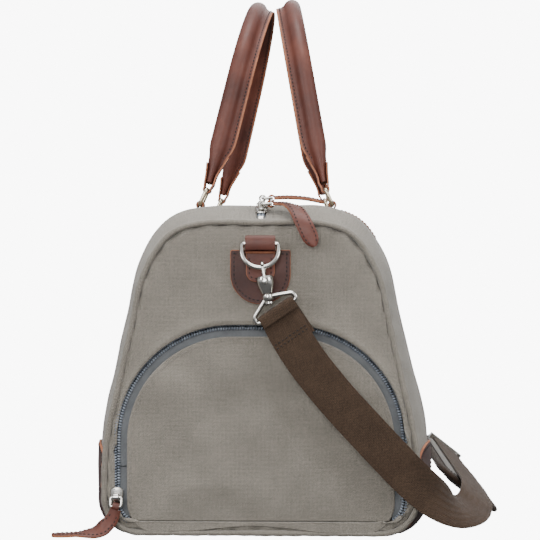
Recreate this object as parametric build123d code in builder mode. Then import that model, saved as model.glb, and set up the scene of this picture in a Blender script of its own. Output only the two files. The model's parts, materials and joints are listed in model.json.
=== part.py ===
from build123d import *
from math import cos, radians, sin, tan
import os

# A canvas travel duffel with leather trim. Millimetres, +Z up, +Y along the bag,
# origin on the floor under the middle of the base. The near end is the one at -Y.

# ---- body ----
bag_length = 520
end_half_width = 133
end_height = 266
side_bulge = 17
bulge_power = 6
crown_rise = 16
crown_slope_length = 35
corner_radius = 30
canvas_thickness = 3
seam_gap = 0.3
piping_radius = 3
lining_thickness = 1
board_thickness = 3
board_edge_room = 32

# ---- zips ----
slot_half_width = 13
slot_end_room = 8
tooth_reach = 2.8
tooth_height = 3.2
tape_thickness = 1
tape_depth = 0.9
stop_length = 4
slider_length = 16
slider_width = 11
slider_wall = 1.3
near_slider_setback = 23
far_slider_setback = 48
lug_height = 7.5
lug_length = 6
lug_base_share = 0.72
lug_wall = 1.6
lug_hole_radius = 1.7
link_pin_radius = 1.3
link_reach = 8
pull_width = 14
pull_thickness = 2.6

# ---- end zip and flap ----
arch_inset = 11
arch_height = 178
arch_radius = 98
leg_turn = 58
flap_thickness = 3.3
outer_tape_width = 2
inner_tape_width = 14
canvas_inset = 10
lining_room = 9
pocket_grow = 1.6
pocket_depth = 150
pocket_wall = 1
end_slider_height = 34
flap_corner_height = 58

# ---- leather on the ends ----
leather = 2
patch_half_width = 25.5
patch_top = 243
patch_drop = 46
patch_arc_z = 222
tab_half_width = 12
tab_drop = 32
ring_bar_height = 248
ring_half_width = 15.5
ring_drop = 21.5
ring_wire = 2
ring_tilt = 23
loop_clearance = 0.3
corner_patch_height = 74
corner_patch_length = 72

# ---- handles ----
anchor_x = 62
anchor_y = 112
anchor_width = 18
anchor_length = 50
handle_ring_wire = 1.8
handle_ring_width = 27
handle_ring_height = 16
handle_ring_lean = 24
leg_angle = 9
leg_length = 112
roll_radius = 8.5
core_radius = 6
flange_reach = 16
flange_thickness = 4
left_handle_lean = 13.5
right_handle_lean = 10
end_strap_width = 17
end_strap_thickness = 4
end_strap_length = 22

# ---- strap ----
webbing_width = 34
webbing_thickness = 2.4
hook_wire = 1.7
claw_radius = 6.6
rod_seat = 2.2
claw_shift = 1.45
hook_lean = 9
claw_gap_start = 35
claw_gap_end = 260
barrel_radius = 7.4
barrel_length = 15
bolt_radius = 1.3
bolt_clearance = 0.3
bolt_travel = 4.5
trigger_reach = 3.2
neck_radius = 2.2
neck_length = 7
loop_lean = 34
loop_height = 14
loop_half_width = 19.6
loop_shoulder = 6
loop_wire = 2
collar_length = 5
pad_length = 300
pad_width = 60
pad_thickness = 9
pad_lean = 38
pad_x = 186
binding_width = 5
adjuster_y = 166
adjuster_length = 22
adjuster_wall = 3.4

os.makedirs("parts", exist_ok=True)
half_length = bag_length / 2
wrap_end = half_length - piping_radius - seam_gap
near_slider_y = near_slider_setback - half_length
far_slider_y = far_slider_setback - half_length
hem_height = corner_radius - (corner_radius - arch_inset) * sin(radians(leg_turn))


def finish(part, name):
    part.label = name
    export_step(part, f"parts/{name}.step")


def finish_pair(part, name):
    finish(part, f"near_{name}")
    finish(mirror(part, about=Plane.XZ), f"far_{name}")


def end_plane(y):
    """Upright plane across the bag: local x is +X, local y is +Z, its normal is -Y."""
    return Plane(origin=(0, y, 0), x_dir=(1, 0, 0), z_dir=(0, -1, 0))


def crown_height(y):
    return end_height + crown_rise * min(1, (half_length - abs(y)) / crown_slope_length)


def base_lift(y):
    """The base rises to the piping over the same length as the crown falls."""
    return piping_radius * max(0, 1 - (half_length - abs(y)) / crown_slope_length) ** 2


def body_side(y, inset):
    """Right half of the bag's cross-section at y, from the base's middle to the crown."""
    bulge = side_bulge * (1 - (abs(y) / half_length) ** bulge_power)
    half = end_half_width + bulge - inset
    top = crown_height(y) - inset
    corner = corner_radius - inset
    foot = inset + base_lift(y)
    shares = ((0.985, 0.30), (0.91, 0.478), (0.825, 0.669), (0.744, 0.842), (0.60, 0.955))
    side = [(half * across, top * up) for across, up in shares]
    Line((0, foot), (half - corner, foot))
    CenterArc((half - corner, foot + corner), corner, -90, 90)
    Spline((half, foot + corner), *side, (0, top), tangents=[(0, 1), (-1, 0)])


def body_face(y, inset):
    """Whole cross-section at y, made smaller all round by inset."""
    with BuildSketch(end_plane(y)) as face:
        with BuildLine():
            body_side(y, inset)
            mirror(about=Plane.YZ)
        make_face()
    return face.sketch


def body_loaf(inset, end):
    """Solid of the whole bag body between y = -end and y = end."""
    shoulder = half_length - crown_slope_length
    stations = (end, (end + shoulder) / 2 + 6, shoulder, 0.58 * half_length, 0)
    places = [-s for s in stations] + [s for s in reversed(stations[:-1])]
    with BuildPart() as loaf:
        loft([body_face(y, inset) for y in places], ruled=True)
    return loaf.part


def arch_foot(grow):
    """Half of the width at which the end zip's line stops."""
    small = corner_radius - arch_inset + grow
    return end_half_width - arch_inset + grow - small * (1 - cos(radians(leg_turn)))


def arch_outline(grow):
    """The end zip's line, grown outwards by grow: lower corners, legs, big top corners."""
    side, top = end_half_width - arch_inset + grow, arch_height + grow
    big, small = arch_radius + grow, corner_radius - arch_inset + grow
    low = corner_radius
    foot = (arch_foot(grow), low - small * sin(radians(leg_turn)))
    Line((-foot[0], foot[1]), foot)
    CenterArc((side - small, low), small, -leg_turn, leg_turn)
    Line((side, low), (side, top - big))
    CenterArc((side - big, top - big), big, 0, 90)
    Line((side - big, top), (big - side, top))
    CenterArc((big - side, top - big), big, 90, 90)
    Line((-side, top - big), (-side, low))
    CenterArc((small - side, low), small, 180, leg_turn)


def arch_band(outer_grow, inner_grow, front, depth):
    """Band along the end zip between two growths of its line, open at the hem."""
    with BuildPart() as band:
        with BuildSketch(end_plane(front)):
            with BuildLine():
                arch_outline(outer_grow)
            make_face()
            with BuildLine():
                arch_outline(inner_grow)
            make_face(mode=Mode.SUBTRACT)
            with Locations((0, corner_radius / 2)):
                Rectangle(2 * arch_foot(inner_grow), corner_radius, mode=Mode.SUBTRACT)
        extrude(amount=-depth)
        split(bisect_by=Plane.XY.offset(hem_height), keep=Keep.TOP)
    return band.part


def ribbon(path, normals, width, thickness, count):
    """Flat band along path; its face turns evenly through the listed normals."""
    faces = []
    for station in range(count):
        share = station / (count - 1)
        place = share * (len(normals) - 1)
        first = min(int(place), len(normals) - 2)
        blend = place - first
        facing = Vector(*normals[first]) * (1 - blend) + Vector(*normals[first + 1]) * blend
        along = path % share
        with BuildSketch(Plane(path @ share, along.cross(facing), along)) as face:
            Rectangle(width, thickness)
        faces.append(face.sketch)
    with BuildPart() as band:
        loft(faces, ruled=True)
    return band.part


def soft_path(points):
    """Straight runs joined by the largest tangent arcs that the runs beside them allow."""
    runs = [Vector(*b) - Vector(*a) for a, b in zip(points, points[1:])]
    radii = []
    for before, after in zip(runs, runs[1:]):
        half_turn = radians(before.get_angle(after) / 2)
        radii.append(0.45 * min(before.length, after.length) / tan(half_turn))
    print("path radii", [round(r) for r in radii])
    with BuildLine() as route:
        FilletPolyline(*points, radius=radii)
    return route.wire()


# ================= canvas body =================
outer = body_loaf(0, wrap_end)
hollow = body_loaf(canvas_thickness, wrap_end + 1)
slot_length = 2 * (half_length - slot_end_room)

with BuildPart() as canvas_wrap:
    add(outer)
    add(hollow, mode=Mode.SUBTRACT)
    with Locations((0, 0, end_height)):
        Box(2 * slot_half_width, slot_length, 90, mode=Mode.SUBTRACT)
finish(canvas_wrap.part, "canvas_wrap")

lining_inset = canvas_thickness + seam_gap
lining_end = wrap_end - 2
with BuildPart() as lining:
    add(body_loaf(lining_inset, lining_end))
    add(body_loaf(lining_inset + lining_thickness, lining_end + 1), mode=Mode.SUBTRACT)
    with Locations((0, 0, end_height)):
        Box(2 * slot_half_width, slot_length, 90, mode=Mode.SUBTRACT)
finish(lining.part, "lining")

board_floor = lining_inset + lining_thickness + seam_gap
with BuildPart() as base_board:
    with BuildSketch(Plane.XY.offset(board_floor)):
        RectangleRounded(
            2 * (end_half_width - corner_radius), 2 * (wrap_end - board_edge_room), 10
        )
    extrude(amount=board_thickness)
finish(base_board.part, "base_board")

# ---- end panels: the near one is open inside the end zip ----
with BuildPart() as end_panel:
    panel_face = body_face(-half_length, piping_radius + seam_gap)
    extrude(panel_face, amount=canvas_thickness / 2, both=True)
finish(mirror(end_panel.part, about=Plane.XZ), "far_end_panel")
with BuildPart() as near_end_panel:
    add(end_panel.part)
    with BuildSketch(end_plane(-half_length)):
        with BuildLine():
            arch_outline(tooth_reach + seam_gap)
        make_face()
    extrude(amount=canvas_thickness, both=True, mode=Mode.SUBTRACT)
finish(near_end_panel.part, "near_end_panel")

with BuildPart() as piping:
    with BuildLine() as seam:
        body_side(-half_length, 0)
    with BuildSketch(Plane.YZ):
        with Locations((-half_length, piping_radius)):
            Circle(piping_radius)
    sweep(path=seam.wire().moved(end_plane(-half_length).location))
    mirror(about=Plane.YZ)
finish_pair(piping.part, "piping")


# ================= top zip =================
def crown_strip(rise, depth, end, near_x, far_x):
    """Strip that follows the crown's line from rise above it to depth below it."""
    shoulder = half_length - crown_slope_length
    line = [(y, crown_height(y)) for y in (-end, -shoulder, shoulder, end)]
    with BuildPart() as strip:
        with BuildSketch(Plane.YZ.offset(near_x)):
            with BuildLine():
                upper = [(y, z + rise) for y, z in line]
                lower = [(y, z - depth) for y, z in reversed(line)]
                Polyline(*upper, *lower, close=True)
            make_face()
        extrude(amount=far_x - near_x)
    return strip.part


zip_half = half_length - slot_end_room - seam_gap
teeth_rise = tooth_height / 2 - tape_depth / 2
with BuildPart() as top_zip_tapes:
    add(crown_strip(-tape_depth, tape_depth + tape_thickness, zip_half,
                    tooth_reach + 0.2, slot_half_width - seam_gap))
    mirror(about=Plane.YZ)
finish(top_zip_tapes.part, "top_zip_tapes")

chain_end = zip_half - stop_length - seam_gap
with BuildPart() as top_zip_teeth:
    add(crown_strip(teeth_rise, tooth_height - teeth_rise, chain_end, -tooth_reach, tooth_reach))
finish(top_zip_teeth.part, "top_zip_teeth")

with BuildPart() as top_zip_stops:
    for side in (-1, 1):
        along = side * (zip_half - stop_length / 2)
        with BuildSketch(Plane.XY.offset(crown_height(along) - tape_depth - tape_thickness)):
            with Locations((0, along)):
                RectangleRounded(2 * tooth_reach, stop_length, 1)
        extrude(amount=tooth_height)
finish(top_zip_stops.part, "top_zip_stops")


def zip_slider(place, skirt):
    """Upper shell of a slider: local y runs along the chain, its sides come down to skirt."""
    chain_top = teeth_rise + seam_gap
    half_channel = tooth_reach + seam_gap + 0.5
    with BuildPart() as body:
        with BuildSketch(place.offset(skirt)):
            RectangleRounded(slider_width, slider_length, 3)
        extrude(amount=chain_top + slider_wall - skirt)
        with BuildSketch(place.offset(-tape_depth)):
            Rectangle(2 * half_channel, slider_length + 1)
        extrude(amount=tape_depth + chain_top, mode=Mode.SUBTRACT)
    return body.part


# Each slider carries a lug with a bore along Y; the pull's pin turns in that bore.
slider_top = teeth_rise + seam_gap + slider_wall
lug_centre = slider_top + lug_height - lug_hole_radius - lug_wall


def slider_with_lug(place, bore, skirt):
    centre = place.from_local_coords((0, 0, lug_centre))
    across = Plane(origin=centre, z_dir=bore)
    with BuildPart() as slider:
        add(zip_slider(place, skirt))
        with BuildSketch(place.offset(slider_top - 0.5)):
            if abs(bore.dot(place.x_dir)) > 0.5:
                Rectangle(lug_base_share * lug_length, 2 * (lug_hole_radius + lug_wall))
            else:
                Rectangle(2 * (lug_hole_radius + lug_wall), lug_base_share * lug_length)
        extrude(amount=lug_centre - slider_top + 0.5)
        with BuildSketch(across):
            Circle(lug_hole_radius + lug_wall)
        extrude(amount=lug_length / 2, both=True)
        with BuildSketch(across):
            Circle(lug_hole_radius)
        extrude(amount=lug_length, both=True, mode=Mode.SUBTRACT)
    return slider.part, centre


def pull_link(centre, reach, bore):
    """Wire link: a pin through the lug, two cheeks and a cross bar reach away from the pin."""
    half = bore * (lug_length / 2 + seam_gap + link_pin_radius)
    far = centre + reach
    corners = (centre - half, centre + half, far + half, far - half)
    with BuildPart() as link:
        for a, b in zip(corners, corners[1:] + corners[:1]):
            with BuildSketch(Plane(origin=a, z_dir=b - a)):
                Circle(link_pin_radius)
            extrude(amount=(b - a).length)
            with Locations(a):
                Sphere(link_pin_radius)
    return link.part


def pull_leather(far, bore, points, normals):
    """Leather tongue: a fold round the link's cross bar and a flat band."""
    fold = link_pin_radius + loop_clearance
    with BuildPart() as leather_pull:
        with BuildSketch(Plane(origin=far, z_dir=bore)):
            Circle(fold + 0.7 * pull_thickness)
        extrude(amount=lug_length / 2, both=True)
        add(ribbon(soft_path(points), normals, pull_width, pull_thickness, 10))
        with BuildSketch(Plane(origin=far, z_dir=bore)):
            Circle(fold)
        extrude(amount=pull_width, both=True, mode=Mode.SUBTRACT)
    return leather_pull.part


# The near slider waits on the sloping start of the crown, the far one on its level part.
slope = Vector(0, crown_slope_length, crown_rise).normalized()
near_seat = Plane(
    origin=(0, near_slider_y, crown_height(near_slider_y)),
    x_dir=(1, 0, 0),
    z_dir=Vector(1, 0, 0).cross(slope),
)
far_seat = Plane(origin=(0, far_slider_y, crown_height(far_slider_y)))
along_y = Vector(0, 1, 0)
along_x = Vector(1, 0, 0)
top_skirt = seam_gap - tape_depth
near_slider, near_lug = slider_with_lug(near_seat, along_y, top_skirt)
far_slider, far_lug = slider_with_lug(far_seat, along_y, top_skirt)
finish(near_slider, "near_top_slider")
finish(far_slider, "far_top_slider")

sideways = Vector(link_reach, 0, 0)
finish(pull_link(near_lug, sideways, along_y), "near_top_link")
finish(pull_link(far_lug, sideways, along_y), "far_top_link")
near_bar = near_lug + sideways
far_bar = far_lug + sideways
near_points = (
    near_bar + (3, 0, 0),
    near_bar + (12.5, -2.5, -0.3),
    near_bar + (22, -18, -4),
    near_bar + (29, -31.5, -18),
    near_bar + (38, -32.5, -37),
)
near_normals = ((0, 0, 1), (0.3, -0.3, 0.9), (0.3, -0.9, 0.4), (0, -1, 0.1), (0, -1, 0))
finish(pull_leather(near_bar, along_y, near_points, near_normals), "near_top_pull")
far_points = (
    far_bar + (2.5, 0, 0),
    far_bar + (14, -1, 0.5),
    far_bar + (30, -2, -0.5),
    far_bar + (46, -2, -4),
)
far_normals = ((0, 0, 1), (0.05, 0, 1), (0.15, 0, 1))
finish(pull_leather(far_bar, along_y, far_points, far_normals), "far_top_pull")

# ================= end zip, flap and shoe pocket =================
tape_front = -(half_length - canvas_thickness / 2 - seam_gap)
chain_front = tape_front - seam_gap - tooth_height
finish(arch_band(tooth_reach, 0.1, chain_front, tooth_height), "end_zip_teeth")
finish(
    arch_band(tooth_reach + outer_tape_width, 0.2, tape_front, tape_thickness), "end_zip_tape"
)

flap_teeth = arch_band(-seam_gap, -tooth_reach, chain_front, tooth_height)
flap_tape = arch_band(-0.2, -inner_tape_width, tape_front, tape_thickness)
corner_box = Box(
    end_half_width,
    40,
    flap_corner_height,
    align=(Align.MAX, Align.CENTER, Align.MIN),
    mode=Mode.PRIVATE,
).moved(Location((-10, -half_length, 0)))
for whole, name in ((flap_teeth, "flap_teeth"), (flap_tape, "flap_tape")):
    with BuildPart() as kept:
        add(whole)
        add(corner_box, mode=Mode.SUBTRACT)
    finish(kept.part, name)
with BuildPart() as flap_zip_corner:
    add(flap_teeth)
    add(flap_tape)
    add(corner_box, mode=Mode.INTERSECT)
finish(flap_zip_corner.part, "flap_zip_corner")

flap_front = tape_front - seam_gap - flap_thickness
flap_foot = hem_height + seam_gap


def flap_slab(inset, front, thickness):
    """Door of the end pocket, inset inside the zip's line and square at the hem."""
    foot_half = end_half_width - corner_radius - inset
    with BuildPart() as slab:
        with BuildSketch(end_plane(front)):
            with BuildLine():
                arch_outline(-inset)
            make_face()
            with Locations((0, corner_radius)):
                Rectangle(2 * foot_half, 2 * corner_radius)
        extrude(amount=-thickness)
        split(bisect_by=Plane.XY.offset(flap_foot), keep=Keep.TOP)
    return slab.part


finish(flap_slab(canvas_inset, flap_front, flap_thickness), "flap_canvas")
lining_front = tape_front + tape_thickness + seam_gap
finish(flap_slab(lining_room, lining_front, pocket_wall), "flap_lining")

pocket_mouth = lining_front + pocket_wall / 2
with BuildPart() as shoe_pocket:
    with BuildSketch(end_plane(pocket_mouth)):
        with BuildLine():
            arch_outline(pocket_grow)
        make_face()
    extrude(amount=-pocket_depth)
    with BuildSketch(end_plane(pocket_mouth)):
        with BuildLine():
            arch_outline(pocket_grow - pocket_wall)
        make_face()
    extrude(amount=pocket_wall - pocket_depth, mode=Mode.SUBTRACT)
finish(shoe_pocket.part, "shoe_pocket")

# The end slider hangs on the left leg of the arch; its pull trails on the floor.
leg_x = end_half_width - arch_inset
leg_seat = Plane(
    origin=(-leg_x, chain_front + teeth_rise, end_slider_height),
    x_dir=(1, 0, 0),
    z_dir=(0, -1, 0),
)
panel_skirt = half_length + canvas_thickness / 2 + seam_gap + leg_seat.origin.Y
end_slider_body, end_lug = slider_with_lug(leg_seat, along_x, panel_skirt)
finish(end_slider_body, "end_slider")
downwards = Vector(0, -0.3 * link_reach, -0.95 * link_reach)
finish(pull_link(end_lug, downwards, along_x), "end_link")
end_bar = end_lug + downwards
end_points = (
    end_bar + (0, 0, -2.5),
    end_bar + (-3, -0.5, -11),
    (end_bar.X - 14, end_bar.Y - 1, 5),
    (end_bar.X - 34, end_bar.Y - 1, 2.4),
    (end_bar.X - 54, end_bar.Y + 1, 1.6),
)
end_normals = ((0, -1, 0), (0.1, -0.6, 0.6), (0, 0, 1), (0, 0, 1))
finish(pull_leather(end_bar, along_x, end_points, end_normals), "end_pull")

# ================= leather on the body =================
skin_outside = body_loaf(-(seam_gap + leather), wrap_end)
skin_inside = body_loaf(-seam_gap, wrap_end + 1)
with BuildPart() as skin:
    add(skin_outside)
    add(skin_inside, mode=Mode.SUBTRACT)

with BuildPart() as corner_patches:
    add(skin.part)
    with Locations(
        *[
            (x * bag_length / 2, y * (wrap_end - corner_patch_length / 2), corner_patch_height / 2)
            for x in (-1, 1)
            for y in (-1, 1)
        ]
    ):
        Box(
            2 * (half_length - end_half_width + corner_radius),
            corner_patch_length,
            corner_patch_height,
            mode=Mode.INTERSECT,
        )
finish(corner_patches.part, "corner_patches")


# ================= strap rings on the end panels =================
patch_front = -(half_length + canvas_thickness / 2 + seam_gap + leather)
with BuildPart() as ring_patch:
    with BuildSketch(end_plane(patch_front)):
        with BuildLine():
            Line((-patch_half_width, patch_top), (patch_half_width, patch_top))
            Line((patch_half_width, patch_top), (patch_half_width, patch_arc_z))
            ThreePointArc(
                (patch_half_width, patch_arc_z),
                (0, patch_top - patch_drop),
                (-patch_half_width, patch_arc_z),
            )
            Line((-patch_half_width, patch_arc_z), (-patch_half_width, patch_top))
        make_face()
    extrude(amount=-leather)
finish_pair(ring_patch.part, "ring_patch")

tab_front = patch_front - seam_gap - leather
sleeve_inner = ring_wire + loop_clearance
sleeve_outer = sleeve_inner + leather
bar_y = tab_front + leather - sleeve_outer
with BuildPart() as ring_tab:
    with BuildSketch(end_plane(tab_front)):
        with Locations((0, ring_bar_height)):
            RectangleRounded(2 * tab_half_width, 2 * tab_drop, 9, align=(Align.CENTER, Align.CENTER))
    extrude(amount=-leather)
    split(bisect_by=Plane.XY.offset(ring_bar_height), keep=Keep.BOTTOM)
    with BuildSketch(Plane.YZ.offset(-tab_half_width)):
        with Locations((bar_y, ring_bar_height)):
            Circle(sleeve_outer)
    extrude(amount=2 * tab_half_width)
    with BuildSketch(Plane.YZ.offset(-2 * tab_half_width)):
        with Locations((bar_y, ring_bar_height)):
            Circle(sleeve_inner)
    extrude(amount=4 * tab_half_width, mode=Mode.SUBTRACT)
finish_pair(ring_tab.part, "ring_tab")

tilt = radians(ring_tilt)
ring_plane = Plane(
    origin=(0, bar_y, ring_bar_height), x_dir=(1, 0, 0), z_dir=(0, -cos(tilt), sin(tilt))
)
ring_leg = ring_drop - ring_half_width
ring_bend = 3
with BuildPart() as d_ring:
    with BuildLine() as half_ring:
        Line((0, 0), (ring_half_width - ring_bend, 0))
        CenterArc((ring_half_width - ring_bend, -ring_bend), ring_bend, 90, -90)
        Line((ring_half_width, -ring_bend), (ring_half_width, -ring_leg))
        CenterArc((0, -ring_leg), ring_half_width, 0, -90)
    with BuildSketch(Plane.YZ):
        Circle(ring_wire)
    sweep(path=half_ring.wire())
    mirror(about=Plane.YZ)
placed_ring = d_ring.part.moved(ring_plane.location)
finish_pair(placed_ring, "d_ring")

# ================= snap hooks =================
swing_z = ring_bar_height - ring_leg * cos(tilt)
lean = radians(hook_lean)
rod = ring_plane.from_local_coords((ring_half_width * sin(lean), -ring_leg - ring_half_width * cos(lean), 0))
outwards = Vector(rod.X, 0, rod.Z - swing_z).normalized()
claw_centre = Vector(rod.X, rod.Y + claw_shift, rod.Z) + outwards * rod_seat
# In the hook's plane local x points away from the bag and local y up its axis to the ring.
hook_plane = Plane(origin=claw_centre, x_dir=(0, -1, 0), z_dir=Vector(0, -1, 0).cross(-outwards))
barrel_top = -(claw_radius - hook_wire)
barrel_end = barrel_top - barrel_length
neck_end = barrel_end - neck_length
gap_angle = radians(claw_gap_start)
bolt_x = claw_radius * cos(gap_angle)
bolt_top = claw_radius * sin(gap_angle) - hook_wire - bolt_clearance
bolt_bottom = barrel_top - 7
with BuildPart() as hook:
    with BuildSketch() as barrel_side:
        with BuildLine():
            Polyline(
                (0, barrel_top),
                (barrel_radius - 1, barrel_top),
                (barrel_radius, barrel_top - 1.5),
                (barrel_radius, barrel_top - 0.45 * barrel_length),
                (0.62 * barrel_radius, barrel_end),
                (neck_radius, barrel_end),
                (neck_radius, neck_end),
                (1.6 * neck_radius, neck_end),
                (1.6 * neck_radius, neck_end - 2),
                (0, neck_end - 2),
                close=True,
            )
        make_face()
    revolve(axis=Axis.Y)
    with BuildLine() as claw_line:
        CenterArc((0, 0), claw_radius, claw_gap_start, claw_gap_end - claw_gap_start)
    with BuildSketch(Plane(claw_line.line @ 0, z_dir=claw_line.line % 0)):
        Circle(hook_wire)
    sweep(path=claw_line.wire())
    with Locations(claw_line.line @ 0):
        Sphere(hook_wire)
    with BuildSketch(Plane.XZ.offset(-barrel_top - 1)):
        with Locations((bolt_x, 0)):
            Circle(bolt_radius + bolt_clearance)
            with Locations((barrel_radius / 2, 0)):
                Rectangle(barrel_radius, 2 * (bolt_radius + bolt_clearance))
    extrude(amount=1 + barrel_top - bolt_bottom + bolt_travel + 1, mode=Mode.SUBTRACT)
finish_pair(hook.part.moved(hook_plane.location), "hook")

with BuildPart() as bolt:
    with BuildSketch(Plane.XZ.offset(-bolt_top)):
        with Locations((bolt_x, 0)):
            Circle(bolt_radius)
    extrude(amount=bolt_top - bolt_bottom)
    with Locations((bolt_x + trigger_reach / 2, bolt_bottom + 2, 0)):
        Box(trigger_reach, 3, 2 * bolt_radius)
    with Locations((bolt_x + trigger_reach, bolt_bottom + 2, 0)):
        Cylinder(2.2, 1.6, rotation=(0, 90, 0))
finish_pair(bolt.part.moved(hook_plane.location), "bolt")

# ================= strap =================
turn = radians(loop_lean)
along_strap = Vector(sin(turn), 0, -cos(turn))
swivel = hook_plane.from_local_coords((0, (barrel_end + neck_end) / 2, 0))
loop_plane = Plane(origin=swivel, x_dir=(cos(turn), 0, sin(turn)), z_dir=(0, -1, 0))
with BuildPart() as loop_wire_form:
    with BuildLine() as half_loop:
        FilletPolyline(
            (0, -loop_height),
            (loop_half_width, -loop_height),
            (loop_half_width, loop_shoulder - loop_height),
            (3, -0.5),
            radius=(2.4, 3),
        )
    with BuildSketch(Plane(half_loop.line @ 0, z_dir=half_loop.line % 0)):
        Circle(loop_wire)
    sweep(path=half_loop.wire())
    mirror(about=Plane.YZ)
collar_plane = Plane(origin=swivel, z_dir=outwards)
with BuildPart() as strap_loop:
    add(loop_wire_form.part.moved(loop_plane.location))
    with BuildSketch(collar_plane):
        Circle(2 * neck_radius)
    extrude(amount=collar_length / 2, both=True)
    with BuildSketch(collar_plane):
        Circle(neck_radius + loop_clearance)
    extrude(amount=collar_length, both=True, mode=Mode.SUBTRACT)
    with BuildSketch(collar_plane.offset(collar_length / 2)):
        Circle(2 * neck_radius)
    extrude(amount=neck_length, mode=Mode.SUBTRACT)
finish_pair(strap_loop.part, "strap_loop")

pad_turn = radians(pad_lean)
pad_normal = Vector(sin(pad_turn), 0, cos(pad_turn))
pad_half = pad_width / 2 + binding_width
pad_centre = Vector(
    pad_x, 0, pad_half * sin(pad_turn) + pad_thickness / 2 * cos(pad_turn) + seam_gap
)
pad_plane = Plane(origin=pad_centre, x_dir=(cos(pad_turn), 0, -sin(pad_turn)), z_dir=pad_normal)
with BuildPart() as shoulder_pad:
    with BuildSketch(pad_plane):
        RectangleRounded(pad_width, pad_length, 16)
    extrude(amount=pad_thickness / 2, both=True)
finish(shoulder_pad.part, "shoulder_pad")
with BuildPart() as pad_binding:
    with BuildSketch(pad_plane):
        RectangleRounded(pad_width + 2 * binding_width, pad_length + 2 * binding_width, 16 + binding_width)
        RectangleRounded(
            pad_width + 2 * seam_gap, pad_length + 2 * seam_gap, 16 + seam_gap, mode=Mode.SUBTRACT
        )
    extrude(amount=0.7 * pad_thickness / 2, both=True)
finish(pad_binding.part, "pad_binding")

bar_centre = swivel + along_strap * loop_height
strap_start = bar_centre + along_strap * (loop_wire + loop_clearance + 1)
on_pad = pad_centre + pad_normal * ((pad_thickness + webbing_thickness) / 2 + seam_gap)
strap_points = (
    strap_start,
    (27, strap_start.Y - 2, 166),
    (58, strap_start.Y - 4, 125),
    (98, strap_start.Y - 5, 82),
    (134, strap_start.Y - 1, 44),
    (162, -262, 23),
    (182, -232, 19),
    on_pad + (0, -204, 0),
    on_pad + (0, -138, -0.02),
    on_pad + (0, -88, 0),
    on_pad + (0, -42, -0.02),
    on_pad + (0, -0.15, 0),
)
face_front = (0, -1, 0)
face_turning = (0.45, -0.7, 0.5)
face_pad = tuple(pad_normal)
strap_normals = (
    (face_front,) * 6 + ((0.15, -0.95, 0.2), face_turning) + (face_pad,) * 8
)
with BuildPart() as webbing:
    add(ribbon(soft_path(strap_points), strap_normals, webbing_width, webbing_thickness, 40))
    with BuildSketch(Plane(origin=bar_centre, z_dir=loop_plane.x_dir)):
        Circle(loop_wire + loop_clearance + webbing_thickness)
    extrude(amount=webbing_width / 2, both=True)
    with BuildSketch(Plane(origin=bar_centre, z_dir=loop_plane.x_dir)):
        Circle(loop_wire + loop_clearance)
    extrude(amount=webbing_width, both=True, mode=Mode.SUBTRACT)
finish_pair(webbing.part, "webbing")

adjuster_plane = Plane(
    origin=on_pad + (0, adjuster_y, 0), x_dir=pad_plane.x_dir, z_dir=pad_normal
)
with BuildPart() as strap_adjuster:
    with BuildSketch(adjuster_plane):
        RectangleRounded(webbing_width + 2 * adjuster_wall, adjuster_length, 4)
    extrude(amount=webbing_thickness / 2 + seam_gap + 1.4, both=True)
    with BuildSketch(adjuster_plane):
        Rectangle(webbing_width + 2 * seam_gap, adjuster_length + 1)
    extrude(amount=webbing_thickness / 2 + seam_gap, both=True, mode=Mode.SUBTRACT)
    with BuildSketch(adjuster_plane):
        with Locations((0, adjuster_length / 4), (0, -adjuster_length / 4)):
            SlotOverall(webbing_width - 4, adjuster_length / 3)
    extrude(amount=adjuster_length, mode=Mode.SUBTRACT)
finish(strap_adjuster.part, "strap_adjuster")


# ================= handles =================
def crown_z(x, y):
    """Height of the canvas at x on the crown, found by halving along the side curve."""
    with BuildLine() as side:
        body_side(y, 0)
    curve = side.edges().sort_by(Axis.Y)[-1]
    low, high = 0.0, 1.0
    for _ in range(30):
        middle = (low + high) / 2
        if (curve @ middle).X > x:
            low = middle
        else:
            high = middle
    return (curve @ low).Y


ring_inner = handle_ring_wire + loop_clearance
ring_outer = ring_inner + leather
anchor_z = crown_z(anchor_x, anchor_y) + seam_gap + 0.3 + ring_outer
ring_straight = handle_ring_width / 2


def leather_sleeve(centre, width):
    """Leather turned once round a ring's bar that runs along Y."""
    with BuildPart() as sleeve:
        with BuildSketch(end_plane(centre.Y)):
            with Locations((centre.X, centre.Z)):
                Circle(ring_outer)
                Circle(ring_inner, mode=Mode.SUBTRACT)
        extrude(amount=width / 2, both=True)
    return sleeve.part


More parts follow.
